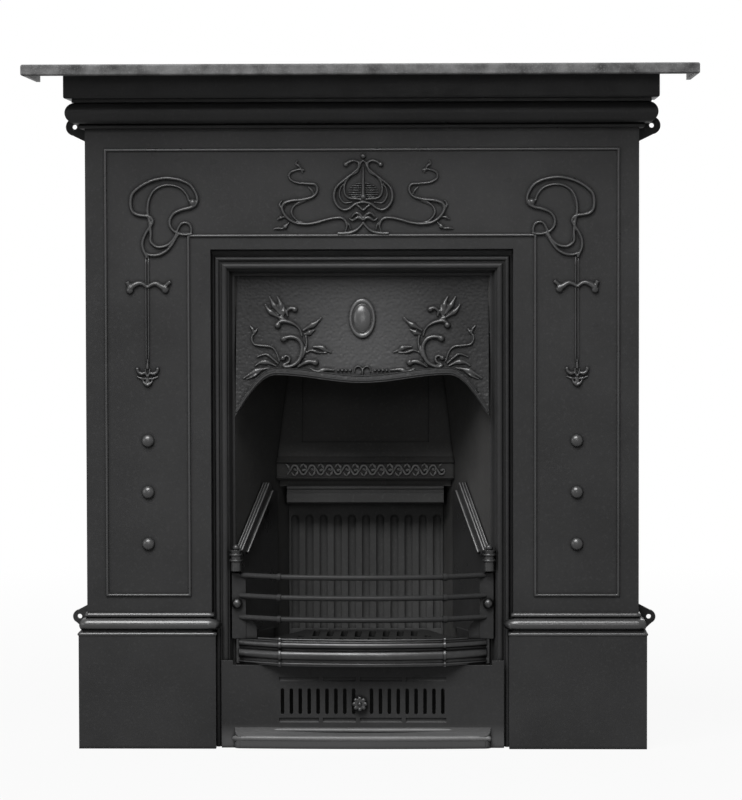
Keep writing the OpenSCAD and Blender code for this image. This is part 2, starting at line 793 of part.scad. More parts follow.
module cheek_bolts() color("#6b6b6b") both_sides() cheek_place() for (z = cheek_bolt_z) {
    rod_x(-4.8, coving_t + fit + 0.6, cheek_bolt_u, z, 3);
    translate([coving_t + fit + 0.6, cheek_bolt_u, z]) rotate([0, 90, 0]) hex_head();
}

// Sweeps a section along the bars' plan; the section is drawn in (distance forward, height).
// The gap is left at each side of the two corners
module bow_sweep(gap = 0) {
    wing_length = norm([wing_x - bow_x, wing_y - bow_y]);
    wing_angle = atan2(wing_y - bow_y, wing_x - bow_x);
    intersection() {
        translate([0, bow_y - bow_rise + bow_r, 0]) rotate([0, 0, -90 - bow_angle - 3])
            rotate_extrude(angle = 2 * bow_angle + 6, $fn = 256) translate([bow_r, 0]) children();
        block([-bow_x + gap, bow_x - gap], [-200, 0], [0, 400]);
    }
    both_sides() intersection() {
        translate([bow_x, bow_y, 0]) rotate([0, 0, wing_angle]) translate([-10, 0, 0])
            mirror([0, 1, 0]) rotate([90, 0, 90]) linear_extrude(wing_length + 30) children();
        block([bow_x + gap, wing_x], [-200, 0], [0, 400]);
    }
}

module front_bars() color("#343434") difference() {
    union() {
        for (z = bar_z) {
            bow_sweep() translate([0, z]) circle(r = bar_r);
            both_sides() translate([bow_x, bow_y, z]) rotate([0, 90, 20])
                translate([0, 0, -3]) cylinder(r = bar_r + 1.2, h = 6);
        }
        both_sides() {
            block(plate_x, plate_y, plate_z);
            // bowed gusset that carries the lowest bar
            intersection() {
                translate([wing_x - 26, wing_y - 3, plate_z[0]]) cube([24, 6, 34]);
                translate([wing_x, 0, plate_z[0] + 2]) rotate([90, 0, 0])
                    cylinder(r = 30, h = 200);
            }
        }
    }
    both_sides() rod_y(stud_place[0], -70, -40, stud_place[1], 2.5 + running);
}

module bar_stud() {
    rod_y(stud_place[0], plate_y[0] - 1, plate_y[1] - 1, stud_place[1], 2.5);
    intersection() {
        translate([stud_place[0], plate_y[0] - 1, stud_place[1]]) sphere(r = 7.8);
        block([170, 196], [-80, plate_y[0]], [190, 230]);
    }
}

module left_bar_stud() color("#3c3c3c") mirror([1, 0, 0]) bar_stud();

module right_bar_stud() color("#3c3c3c") bar_stud();

module nosing_section() {
    translate([-9, nosing_z[0]]) square([11, nosing_z[1] - nosing_z[0]]);
    translate([2.4, 138]) circle(r = 7);
    translate([1.8, 152.3]) circle(r = 4.6);
    translate([1.5, 125.2]) circle(r = 2.2);
}

// The thin bead along the top, which stops short of the bars' end plates
module nosing_crest() {
    translate([-9, 150]) square([10, 10]);
    translate([0.2, 160.3]) circle(r = 1.6);
}

// The collars at the two corners, which cover the joints of the sweeps
module nosing_collars() {
    both_sides() translate([0, bow_y, 0]) along_x(bow_x - 1.6, bow_x + 1.6) {
        translate([-10.5, 121]) square([14, 40]);
        translate([2.6, 138]) circle(r = 8.5);
        translate([2, 152.3]) circle(r = 6.1);
        translate([1.7, 125.2]) circle(r = 3.5);
        translate([0.8, 160.3]) circle(r = 3.1);
    }
}

module grate_nosing() color("#303030") difference() {
    union() {
        bow_sweep(0.4) nosing_section();
        nosing_collars();
        intersection() {
            bow_sweep(0.4) nosing_crest();
            block([-153, 153], [-200, 0], [100, 200]);
        }
        // ledge under the bottom grate
        intersection() {
            bow_sweep(0.4) translate([-18, 130]) square([10, grate_z - 8.3 - 130]);
            block([-162, 162], [-200, 0], [100, 200]);
        }
        both_sides() block([wing_x - 14, wing_x + 4], [wing_y - 2.6, -44.4], nosing_z);
    }
    both_sides() rod_y(wing_x - 4, -56, -40, 140, 3 + running);
}

module nosing_bolts() color("#6b6b6b") both_sides() {
    rod_y(wing_x - 4, -53, -40, 140, 3);
    translate([wing_x - 4, -43.9, 140]) rotate([-90, 0, 0]) hex_head();
}

// Half-width of the bottom grate at depth y
function grate_x(y) = coving_x(y) - 25;

module grate_plan() {
    front = [for (i = [-8 : 8]) let (a = bow_angle * i / 8 * 0.93)
        [(bow_r - 15) * sin(a), bow_y - bow_rise + bow_r - (bow_r - 15) * cos(a)]];
    polygon(concat(front, [[grate_x(-38) - 4, -38], [grate_x(-30), -30], [grate_x(137), 137],
        [-grate_x(137), 137], [-grate_x(-30), -30], [-grate_x(-38) + 4, -38]]));
}

module bottom_grate() color("#262524") {
    pitch = grate_gap + 11;
    slots = 10;
    translate([0, 0, grate_z - 8]) linear_extrude(8) difference() {
        grate_plan();
        for (i = [-slots / 2 + 0.5 : slots / 2 - 0.5]) for (run = [[-66, 26], [40, 122]])
            let (x = i * pitch, y0 = abs(i) > 4 ? max(run[0], -20) : run[0] + abs(i) * 3,
                y1 = run[1] - (abs(i) > 4 && run[0] > 0 ? 60 : 0))
                round_slot(x, y0, y1);
    }
}

// A slot with round ends
module round_slot(x, y0, y1) {
    r = grate_gap / 2;
    translate([x - r, y0 + r]) square([2 * r, y1 - y0 - 2 * r]);
    for (y = [y0 + r, y1 - r]) translate([x, y]) circle(r = r);
}

// Ash pit front -----------------------------------------------------------------------------

module slot_row(width) {
    for (side = [-1, 1]) for (k = [1 : slot_count]) translate([side * k * slot_pitch, 0]) {
        translate([-width / 2, slot_z[0] + width / 2])
            square([width, slot_z[1] - slot_z[0] - width]);
        for (z = [slot_z[0] + width / 2, slot_z[1] - width / 2]) translate([0, z])
            circle(r = width / 2);
    }
}

toe_x = 178.5;
toe_front = -86;
toe_rise = 6;
toe_r = (toe_x * toe_x + toe_rise * toe_rise) / (2 * toe_rise);

// Plan of the toe: a flat bow with round ends
module toe_plan() {
    intersection() {
        translate([0, toe_front + toe_r]) circle(r = toe_r, $fn = 256);
        translate([-toe_x, toe_front - 2]) square([2 * toe_x, 20]);
    }
    for (side = [-1, 1]) translate([side * (toe_x - 1), -70.2]) circle(r = 9.5);
}

module toe() {
    intersection() {
        along_x(-toe_x - 20, toe_x + 20) polygon([[68, 0], [86, 0], [86, 11], [84, 15], [79, 18.5],
            [75, 23], [72, 30], [68, 30]]);
        linear_extrude(40) toe_plan();
    }
}

// Shallow round-bottomed grooves above and below the air slots
module cover_grooves() {
    for (z = [40.5, 100.5]) for (x = [[-122, -64], [-58, -10], [-4, 57], [63, 122]])
        rod_x(x[0], x[1], cover_y[0] - 3.03, z, 4.63);
}

module ashpit_cover() color("#2e2e2f") difference() {
    union() {
        along_y(cover_y[0], cover_y[1]) difference() {
            union() {
                translate([-cover_x, 0]) square([cover_w, cover_h]);
                both_sides_2d() translate([ear_x, 0]) square([cover_x - ear_x, cover_h + ear_h]);
            }
            slot_row(slot_w);
            stem_slot();
        }
        toe();
    }
    cover_grooves();
    for (p = rivet_points()) rod_y(p[0], rivet_y, cover_y[1] + 1, p[1], 2 + running);
}

// Clearance for the knob's stem over its travel
module stem_slot() {
    r = stem_r + fit;
    translate([knob_x, knob_z - r]) square([slide_travel, 2 * r]);
    for (x = [knob_x, knob_x + slide_travel]) translate([x, knob_z]) circle(r = r);
}

rivet_y = cover_y[0] + 1.5;

function rivet_points() = [for (x = [-61, -7, 60], z = [34, 102]) [x, z]];

module slide_guides() color("#6b6b6b") for (z = [0, 1]) {
    low = z == 0 ? 29 : slide_z[1] + fit;
    high = z == 0 ? slide_z[0] - fit : 107;
    back = slide_y[1] + fit;
    difference() {
        union() {
            block([-slide_x - 8, slide_x + 8], [cover_y[1], back], [low, high]);
            block([-slide_x - 8, slide_x + 8], [back, back + 2],
                z == 0 ? [low, high + 4] : [low - 4, high]);
        }
        for (p = rivet_points()) rod_y(p[0], -70, -50, p[1], 2 + running);
    }
}

module guide_rivets() color("#5a5a5a") for (p = rivet_points()) {
    rod_y(p[0], rivet_y + 0.1, slide_y[1] + fit + 2, p[1], 2);
    rod_y(p[0], slide_y[1] + fit + 2, slide_y[1] + fit + 4, p[1], 3.5);
}

module air_slide() color("#2a2a2a") along_y(slide_y[0], slide_y[1]) difference() {
    translate([-slide_x, slide_z[0]]) square([2 * slide_x, slide_z[1] - slide_z[0]]);
    slot_row(slot_w);
    translate([knob_x, knob_z]) circle(r = stem_r + running);
}

module slide_knob() color("#333333") {
    rod_y(knob_x, cover_y[0] - 4, -55, knob_z, stem_r);
    rod_y(knob_x, cover_y[0] - 4, cover_y[0] - fit, knob_z, 7);
    for (i = [0 : 7]) translate([knob_x + 8 * cos(45 * i), cover_y[0] - 5, knob_z + 8 * sin(45 * i)])
        sphere(r = 3.6, $fn = 32);
    rod_y(knob_x, cover_y[0] - 8, cover_y[0] - 3, knob_z, 7.5);
    translate([knob_x, cover_y[0] - 7.5, knob_z]) sphere(r = 3.4, $fn = 32);
}

module slide_nut() color("#6b6b6b") difference() {
    translate([knob_x, slide_y[1], knob_z]) rotate([-90, 0, 0]) cylinder(r = 6.4, h = 5, $fn = 6);
    rod_y(knob_x, -70, -50, knob_z, stem_r + running);
}

surround();
mantel_shelf();
shelf_bolts();
insert_frame();
insert_clips();
hood();
hood_bolts();
left_coving();
right_coving();
fireback();
upper_back();
back_bolts();
smoke_plate();
damper_hinge_pin();
left_grate_cheek();
right_grate_cheek();
cheek_bolts();
grate_nosing();
nosing_bolts();
damper_flap();
damper_pull();
front_bars();
left_bar_stud();
right_bar_stud();
bottom_grate();
ashpit_cover();
slide_guides();
guide_rivets();
air_slide();
slide_knob();
slide_nut();
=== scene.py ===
import json
import math

import bmesh
import bpy
from mathutils import Matrix, Vector


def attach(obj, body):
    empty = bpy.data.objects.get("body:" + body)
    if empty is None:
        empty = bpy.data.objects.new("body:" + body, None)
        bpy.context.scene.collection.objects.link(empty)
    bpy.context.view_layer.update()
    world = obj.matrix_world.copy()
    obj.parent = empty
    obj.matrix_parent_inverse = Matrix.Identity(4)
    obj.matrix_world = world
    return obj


# A cast iron fireplace: satin black iron with cast relief, in soft studio light. Places and
# sizes on the object are in millimetres, as in the part's source, and MM makes them metres.
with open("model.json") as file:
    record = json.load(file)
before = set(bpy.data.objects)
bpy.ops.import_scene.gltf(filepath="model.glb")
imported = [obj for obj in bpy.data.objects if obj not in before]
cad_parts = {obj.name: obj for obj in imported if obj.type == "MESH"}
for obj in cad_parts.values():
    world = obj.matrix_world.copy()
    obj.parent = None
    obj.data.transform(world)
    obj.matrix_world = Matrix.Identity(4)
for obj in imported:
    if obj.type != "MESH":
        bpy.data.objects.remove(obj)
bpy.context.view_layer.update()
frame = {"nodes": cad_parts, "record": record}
NODES = frame["nodes"]

MM = 0.001
UP = Vector((0, 0, 1))

# The photograph's frame, and the camera that it was taken with
PHOTO_W = 742
PHOTO_H = 800
CAMERA_AT = Vector((0.1341, -5.0, 0.7085))
CAMERA_YAW = math.radians(1.406)      # to the left
CAMERA_PITCH = math.radians(2.33)     # down
CAMERA_ROLL = math.radians(-0.124)
FOCAL_PX = 3395.2
SENSOR_MM = 36.0

# Each lamp's place, the point that it faces, its size in metres and its power in watts
LAMPS = {
    "key": ((-0.9, -2.7, 3.9), (0, 0, 0.35), (2.8, 2.6), 430),
    "front": ((0.2, -5.2, 1.5), (0, 0, 0.5), (1.2, 0.8), 20),
    "side": ((-3.2, -1.6, 1.2), (0, 0, 0.5), (1.0, 1.6), 18),
    "back": ((0.5, 2.8, 2.4), (0, 0, 0.5), (2.4, 1.8), 60),
}
WHITE = (1, 1, 1, 1)
WORLD_LIGHT = 0.06                    # strength of the world as light
FLOOR_REACH = 14
FLOOR_Z = -0.0005
FLOOR_PAINT = (0.22, 0.22, 0.22, 1)
# The floor's share of white near the object and far away, with the two distances
GLOW_NEAR, GLOW_FAR = 0.93, 1.0
NEAR, FAR = 0.7, 3.0


# Camera, light and stage -----------------------------------------------------------------

def camera_axes():
    """The camera's right, up and forward directions."""
    forward = Vector((
        -math.sin(CAMERA_YAW) * math.cos(CAMERA_PITCH),
        math.cos(CAMERA_YAW) * math.cos(CAMERA_PITCH),
        -math.sin(CAMERA_PITCH),
    ))
    right = Vector((math.cos(CAMERA_YAW), math.sin(CAMERA_YAW), 0))
    up = right.cross(forward)
    cos, sin = math.cos(CAMERA_ROLL), math.sin(CAMERA_ROLL)
    return right * cos + up * sin, up * cos - right * sin, forward


def sight(px, py):
    """The direction of sight through a pixel of the photograph."""
    right, up, forward = camera_axes()
    aim = forward * FOCAL_PX + right * (px - PHOTO_W / 2) - up * (py - PHOTO_H / 2)
    return aim.normalized()


def make_camera():
    data = bpy.data.cameras.new("camera")
    data.sensor_width = SENSOR_MM
    data.lens = FOCAL_PX * SENSOR_MM / max(PHOTO_W, PHOTO_H)
    camera = bpy.data.objects.new("camera", data)
    bpy.context.scene.collection.objects.link(camera)
    right, up, forward = camera_axes()
    turn = Matrix((right, up, -forward)).transposed().to_4x4()
    camera.matrix_world = Matrix.Translation(CAMERA_AT) @ turn
    bpy.context.scene.camera = camera


def area_light(name, place, target, size, power):
    data = bpy.data.lights.new(name, "AREA")
    data.shape = "RECTANGLE"
    data.size, data.size_y = size
    data.energy = power
    lamp = bpy.data.objects.new(name, data)
    bpy.context.scene.collection.objects.link(lamp)
    lamp.location = place
    aim = Vector(target) - Vector(place)
    lamp.rotation_euler = aim.to_track_quat("-Z", "Y").to_euler()


def make_lights():
    for name, (place, target, size, power) in LAMPS.items():
        area_light(name, place, target, size, power)


class Graph:
    """The shader nodes of a material or a world, with short ways to add to them."""

    def __init__(self, owner):
        owner.use_nodes = True
        self.nodes = owner.node_tree.nodes
        self.links = owner.node_tree.links

    def feed(self, socket, value):
        """Links another node's output to a socket, or sets the socket to a constant."""
        if isinstance(value, bpy.types.NodeSocket):
            self.links.new(value, socket)
        else:
            socket.default_value = value

    def add(self, kind, sockets=None, **settings):
        """A new node with the given settings, and its sockets fed by name or number."""
        node = self.nodes.new("ShaderNode" + kind)
        for name, value in settings.items():
            setattr(node, name, value)
        for key, value in (sockets or {}).items():
            self.feed(node.inputs[key], value)
        return node

    def ranged(self, source, low, high, to_low, to_high):
        """The source, brought from one range of values to another."""
        node = self.add("MapRange", {"From Min": low, "From Max": high, "To Min": to_low,
                                     "To Max": to_high, "Value": source})
        return node.outputs["Result"]

    def seen_directly(self):
        """1 for camera, glossy and transmission rays, else 0."""
        path = self.add("LightPath").outputs
        glossy = self.add("Math", {0: path["Is Camera Ray"], 1: path["Is Glossy Ray"]},
                          operation="MAXIMUM")
        both = self.add("Math", {0: glossy.outputs[0], 1: path["Is Transmission Ray"]},
                        operation="MAXIMUM")
        return both.outputs[0]


def make_world():
    """White where it is seen, and a weak grey as light."""
    world = bpy.data.worlds.new("studio")
    bpy.context.scene.world = world
    graph = Graph(world)
    graph.nodes.clear()
    dim = graph.add("Background", {"Color": WHITE, "Strength": WORLD_LIGHT})
    white = graph.add("Background", {"Color": WHITE, "Strength": 1.0})
    mix = graph.add("MixShader", {0: graph.seen_directly(), 1: dim.outputs[0],
                                  2: white.outputs[0]})
    graph.add("OutputWorld", {0: mix.outputs[0]})


def floor_material():
    """Pale paint that glows white to the camera, a little less near the object."""
    material = bpy.data.materials.new("floor_paint")
    graph = Graph(material)
    graph.nodes.clear()
    paint = graph.add("BsdfDiffuse", {"Color": FLOOR_PAINT})
    glow = graph.add("Emission", {"Strength": 1.0})
    where = graph.add("NewGeometry")
    reach = graph.add("VectorMath", {0: where.outputs["Position"]}, operation="LENGTH")
    glowing = graph.ranged(reach.outputs["Value"], NEAR, FAR, GLOW_NEAR, GLOW_FAR)
    share = graph.add("Math", {0: graph.seen_directly(), 1: glowing}, operation="MULTIPLY")
    mix = graph.add("MixShader", {0: share.outputs[0], 1: paint.outputs[0],
                                  2: glow.outputs[0]})
    graph.add("OutputMaterial", {"Surface": mix.outputs[0]})
    return material


def make_floor():
    """A pale floor that keeps the object's soft shadow."""
    bm = bmesh.new()
    bmesh.ops.create_grid(bm, x_segments=1, y_segments=1, size=FLOOR_REACH)
    floor = add_object("floor", bm)
    floor.location.z = FLOOR_Z
    floor.data.materials.append(floor_material())


# Mesh helpers ----------------------------------------------------------------------------

def add_object(name, bm, smooth=False):
    """An object with the mesh of bm, which is freed."""
    mesh = bpy.data.meshes.new(name)
    bmesh.ops.recalc_face_normals(bm, faces=bm.faces)
    bm.to_mesh(mesh)
    bm.free()
    if smooth:
        mesh.shade_smooth()
    piece = bpy.data.objects.new(name, mesh)
    bpy.context.scene.collection.objects.link(piece)
    return piece


def dress(piece, material, body="root"):
    """Gives a piece its material and the body that it rides on."""
    piece.data.materials.append(material)
    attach(piece, body)


def circle(count):
    """Count angles around a full turn."""
    return [2 * math.pi * k / count for k in range(count)]


def spoke(angle):
    """The unit vector at an angle in a plane."""
    return Vector((math.cos(angle), math.sin(angle)))


def skin(bm, rings):
    """Faces between each ring of corners and the next."""
    for a, b in zip(rings, rings[1:]):
        for k in range(len(a)):
            m = (k + 1) % len(a)
            bm.faces.new((a[k], a[m], b[m], b[k]))


def cap_ends(bm, rings):
    """Closes the first and the last ring."""
    bm.faces.new(rings[0])
    bm.faces.new(list(reversed(rings[-1])))


def mirrored(p, side):
    """The point itself for side 1, or its mirror image about the centre line for side -1."""
    return Vector((side * p.x, p.y, p.z))


def spline(points, step):
    """Points about every step along a smooth curve through the given points."""
    result = []
    last = len(points) - 1
    for i in range(last):
        p0 = points[max(i - 1, 0)]
        p1, p2 = points[i], points[i + 1]
        p3 = points[min(i + 2, last)]
        count = max(2, math.ceil((p2 - p1).length / step))
        for k in range(count):
            t = k / count
            result.append(0.5 * (
                2 * p1 + (p2 - p0) * t + (2 * p0 - 5 * p1 + 4 * p2 - p3) * t ** 2
                + (3 * p1 - p0 - 3 * p2 + p3) * t ** 3
            ))
    result.append(points[-1])
    return result


class Flat:
    """An upright carrier that faces the front; u runs along x and v upward."""

    def __init__(self, origin):
        self.origin = Vector(origin)

    def at(self, u, v, h=0.0):
        """The point at (u, v) on the carrier and h before it."""
        return self.origin + Vector((u, -h, v))

    def trace(self, px, py):
        """Where the line of sight through a pixel of the photograph meets the carrier."""
        aim = sight(px, py)
        hit = CAMERA_AT + aim * (self.origin.y - CAMERA_AT.y) / aim.y - self.origin
        return Vector((hit.x, hit.z))


class Bent:
    """A carrier like the hood's face, upright at its top and flaring to the front below."""

    def __init__(self, top, radius):
        self.radius = radius
        self.centre = Vector(top) - Vector((0, radius, 0))

    def at(self, u, v, h=0.0):
        """The point at (u, v) on the carrier and h before it."""
        out = Vector((0, math.sqrt(self.radius ** 2 - v ** 2), v))
        return self.centre + Vector((u, 0, 0)) + out * (1 - h / self.radius)

    def trace(self, px, py):
        """Where the line of sight through a pixel of the photograph meets the carrier."""
        aim = sight(px, py)
        start = CAMERA_AT - self.centre
        a = aim.y ** 2 + aim.z ** 2
        b = start.y * aim.y + start.z * aim.z
        c = start.y ** 2 + start.z ** 2 - self.radius ** 2
        hit = start + aim * (math.sqrt(b * b - a * c) - b) / a
        return Vector((hit.x, hit.z))


FACE_Y = -70
FACE = Flat((0, FACE_Y * MM, 0))      # the surround's panel


def taper(sizes, t):
    """A size that runs smoothly from start to middle to end as t goes from 0 to 1."""
    start, middle, end = sizes
    if t < 0.5:
        k = 1 - math.cos(math.pi * t)
        return start + (middle - start) * k
    k = 1 - math.cos(math.pi * (1 - t))
    return end + (middle - end) * k


def arch(bm, plane, centre, across, tall, sunk, sides):
    """A half-round section on the plane: its arc, then the two corners sunk below it."""
    ring = []
    for k in range(sides + 1):
        angle = math.pi * k / sides
        spot = centre + across * math.cos(angle)
        ring.append(bm.verts.new(plane.at(spot.x, spot.y, tall * math.sin(angle))))
    for edge in (-1, 1):
        spot = centre + across * edge
        ring.append(bm.verts.new(plane.at(spot.x, spot.y, -sunk)))
    return ring


RIDGE_SIDES = 6
LOWEST = 0.35                         # share of a ridge's height where its width runs out


def ridge(bm, plane, route, widths, height, sunk=1.2, step=1.6):
    """A raised half-round line along a route of (u, v) points, in metres on the plane.

    The widths at its start, middle and end, its height and how deep it is sunk are in mm.
    """
    path = spline(route, step * MM)
    rings = []
    total = len(path) - 1
    for i, here in enumerate(path):
        ahead = path[min(i + 1, total)] - path[max(i - 1, 0)]
        if ahead.length < 1e-9:
            continue
        half = taper(widths, i / total) * MM / 2
        fullness = half / (max(widths) * MM / 2)
        tall = height * MM * min(1.0, LOWEST + (1 - LOWEST) * fullness)
        across = Vector((-ahead.y, ahead.x)).normalized() * half
        rings.append(arch(bm, plane, here, across, tall, sunk * MM, RIDGE_SIDES))
    skin(bm, rings)
    cap_ends(bm, rings)


def knob(bm, plane, centre, radius, height, sunk=1.0, rows=5, sides=14):
    """A domed spot on the plane; its radius, height and how deep it is sunk are in mm."""
    levels = [(1.0, -sunk)]
    for r in range(rows):
        tilt = math.pi / 2 * r / rows
        levels.append((math.cos(tilt), height * math.sin(tilt)))
    rings = []
    for share, level in levels:
        spots = [centre + spoke(angle) * radius * MM * share for angle in circle(sides)]
        rings.append([bm.verts.new(plane.at(p.x, p.y, level * MM)) for p in spots])
    skin(bm, rings)
    top = bm.verts.new(plane.at(centre.x, centre.y, height * MM))
    for k in range(sides):
        bm.faces.new((rings[-1][k], rings[-1][(k + 1) % sides], top))
    bm.faces.new(list(reversed(rings[0])))


BEAD_SIDES = 8
CORNER_RING = 4.0                     # where a moulding's straight run ends before a corner


def moulding(bm, plane, corners, width, height, sunk=1.0):
    """A half-round bead around a closed outline of (u, v) corners, mitred at each."""
    rings = []
    for i, here in enumerate(corners):
        before = (here - corners[i - 1]).normalized()
        after = (corners[(i + 1) % len(corners)] - here).normalized()
        square_before = Vector((-before.y, before.x))
        square_after = Vector((-after.y, after.x))
        mitre = square_before + square_after
        mitre *= 2 / mitre.length_squared
        stops = ((here - before * CORNER_RING * MM, square_before), (here, mitre),
                 (here + after * CORNER_RING * MM, square_after))
        for centre, across in stops:
            rings.append(arch(bm, plane, centre, across * width / 2 * MM, height * MM,
                              sunk * MM, BEAD_SIDES))
    skin(bm, rings + rings[:1])


# A rod's rounded end: distance from its tip and size, both against the rod's radius
ROD_END = ((0.0, 0.45), (0.25, 0.78), (0.8, 1.0))
LONGEST_MITRE = 2


def rod(bm, path, radius, up, sides=16):
    """A rod with rounded ends along a path of points in mm; up lies square to the path."""
    first = (path[1] - path[0]).normalized()
    last = (path[-2] - path[-1]).normalized()
    stops = [(path[0] + first * radius * reach, size) for reach, size in ROD_END]
    stops += [(p, 1.0) for p in path[1:-1]]
    stops += [(path[-1] + last * radius * reach, size) for reach, size in reversed(ROD_END)]
    rings = []
    for i, (centre, size) in enumerate(stops):
        following = stops[min(i + 1, len(stops) - 1)][0]
        ahead = following - stops[max(i - 1, 0)][0]
        across = ahead.cross(up).normalized()
        rise = across.cross(ahead).normalized()
        if 0 < i < len(stops) - 1:
            # a mitre is longer across than the rod is thick
            bend = (following - centre).normalized().dot(ahead.normalized())
            across /= max(1 / LONGEST_MITRE, bend)
        ring = []
        for angle in circle(sides):
            reach = across * math.cos(angle) + rise * math.sin(angle)
            ring.append(bm.verts.new((centre + reach * radius * size) * MM))
        rings.append(ring)
    skin(bm, rings)
    cap_ends(bm, rings)


SOFTENING = 0.5
SOFTENING_ROUNDS = 3


def relief(name, plane, lines, knobs=(), axis=None, voxel=0.7, bold=1.0, high=1.0):
    """Raised lines and spots, melted into one casting. A line is (pixels, widths, height).

    With an axis, a pixel column, the mirror images about it are added. Bold and high scale the
    widths and heights.
    """
    bm = bmesh.new()
    for flipped in (False, True) if axis else (False,):
        def place(pixel):
            spot = plane.trace(*pixel)
            if flipped:
                spot.x = 2 * plane.trace(axis, pixel[1]).x - spot.x
            return spot

        for pixels, widths, height in lines:
            sizes = [w * bold for w in widths]
            ridge(bm, plane, [place(p) for p in pixels], sizes, height * high)
        for pixel, radius, height in knobs:
            knob(bm, plane, place(pixel), radius * bold, height * high)
    piece = add_object(name, bm)
    melt = piece.modifiers.new("melt", "REMESH")
    melt.mode = "VOXEL"
    melt.voxel_size = voxel * MM
    melt.use_smooth_shade = True
    soft = piece.modifiers.new("soften", "SMOOTH")
    soft.factor = SOFTENING
    soft.iterations = SOFTENING_ROUNDS
    dress(piece, RELIEF_IRON)


# Materials -------------------------------------------------------------------------------

# Where a pattern begins to show, and where it shows in full
BLOTCHES = (0.32, 0.68)
SPECKS = (0.55, 0.68)
SHARP_POINTS = (0.52, 0.6)            # pointiness at the edges of a dense mesh
SHARP_EDGES = (0.995, 0.85)           # cosine between the rounded normal and the face's own
# HOLLOWS: the openness where the painted shade of the crevices begins, and where it is full
HOLLOWS = (0.96, 0.5)                 # openness of a place
SHINE_SPOTS = (0.3, 0.7)
# Brightness against the light colour of the iron: of the edges (bare iron and painted highlight),
# of the painted highlight at the foot and of the painted sheen
EDGE_SHINE = 2.4
FOOT_SHINE = 2.2
PAINTED_SHEEN_SHINE = 2.3
# the near black of the painted shade low on the fireback
PAINTED_SHADE_BLACK = (0.002, 0.002, 0.002)
# the black of the painted shade in the crevices
CREVICE_SHADE_BLACK = (0.003, 0.003, 0.003)
CREVICE_REACH = 0.006
SPECK_SCALE = 0.6                     # against the scale of the grain
# Each local painted mark (the highlight at the foot, the sheen, the shade low down): where it is in
# full, against where it begins, and how strong it is there
FOOT_HIGHLIGHT = (0.4, 0.9)
PAINTED_SHEEN_SPREAD = (0.2, 0.7)
BELOW_SHADE_FADE = (0.8, 0.95)
# The bumps, whose depths are in metres
WAVE_SCALE, WAVE_STRENGTH, WAVE_DEPTH = 14, 0.25, 0.003
DIMPLE_SCALE, DIMPLE_SPREAD, DIMPLE_DEPTH = 210, 0.8, 0.0012
GRAIN_DEPTH = 0.0006
# Spots of another shine, and how far the roughness goes below and above its mean in them
SHINE_SCALE = 38
SHINIER = 0.06
DULLER = 0.07


class Iron(Graph):
    """The nodes of one kind of cast iron. Its colour is built up layer by layer."""

    def __init__(self, material, dark, light):
        super().__init__(material)
        self.inputs = self.nodes["Principled BSDF"].inputs
        self.where = self.add("TexCoord").outputs["Object"]
        self.light = light
        self.colour = (*dark, 1)

    def noise(self, scale, detail, rough=0.55):
        node = self.add("TexNoise", {"Scale": scale, "Detail": detail, "Roughness": rough,
                                     "Vector": self.where})
        return node.outputs["Fac"]

    def height(self):
        """The height over the floor, in metres."""
        return self.add("SeparateXYZ", {0: self.where}).outputs["Z"]

    def lay(self, share, colour):
        """Lays a colour over the iron by a share from 0 to 1."""
        node = self.add("Mix", {"Factor": share, "A": self.colour, "B": (*colour, 1)},
                        data_type="RGBA")
        self.colour = node.outputs["Result"]

    def brighten(self, share, shine):
        """Lays the iron's light colour over it, made brighter by a factor."""
        self.lay(share, [c * shine for c in self.light])

    def local(self, distance, start, painted_mark):
        """The share of a local painted mark of light or shade that begins at a distance."""
        full, strength = painted_mark
        return self.ranged(distance, start, start * full, 0, strength)

    def wear_and_highlight_edges(self, rounded, edge_wear_and_highlight, dense):
        """Lightens the edges and high points: partly bare iron through the polish, partly painted
        highlight.
        """
        face = self.add("NewGeometry").outputs
        if dense:
            edge_lightening = self.ranged(face["Pointiness"], *SHARP_POINTS, 0, edge_wear_and_highlight)
        else:
            turned = self.add("VectorMath", {0: rounded, 1: face["Normal"]},
                              operation="DOT_PRODUCT")
            edge_lightening = self.ranged(turned.outputs["Value"], *SHARP_EDGES, 0, edge_wear_and_highlight)
        self.brighten(edge_lightening, EDGE_SHINE)

    def painted_sheen(self, centre, reach):
        """Painted sheen: lightens the iron around a place."""
        away = self.add("VectorMath", {0: self.where, 1: centre}, operation="DISTANCE")
        self.brighten(self.local(away.outputs["Value"], reach, PAINTED_SHEEN_SPREAD), PAINTED_SHEEN_SHINE)

    def paint_crevice_shade(self, crevice_shade):
        """Painted shade: darkens the hollows and the feet of raised lines, by how open each place
        is.
        """
        hollow = self.add("AmbientOcclusion", {"Distance": CREVICE_REACH}, samples=6)
        self.lay(self.ranged(hollow.outputs["AO"], *HOLLOWS, 0, crevice_shade), CREVICE_SHADE_BLACK)

    def bump(self, source, strength, depth, normal):
        node = self.add("Bump", {"Strength": strength, "Distance": depth, "Height": source,
                                 "Normal": normal})
        return node.outputs["Normal"]

    def dimples(self):
        """The marks of a hammer."""
        node = self.add("TexVoronoi", feature="SMOOTH_F1")
        self.feed(node.inputs["Scale"], DIMPLE_SCALE)
        self.feed(node.inputs["Randomness"], DIMPLE_SPREAD)
        self.feed(node.inputs["Vector"], self.where)
        return node.outputs["Distance"]


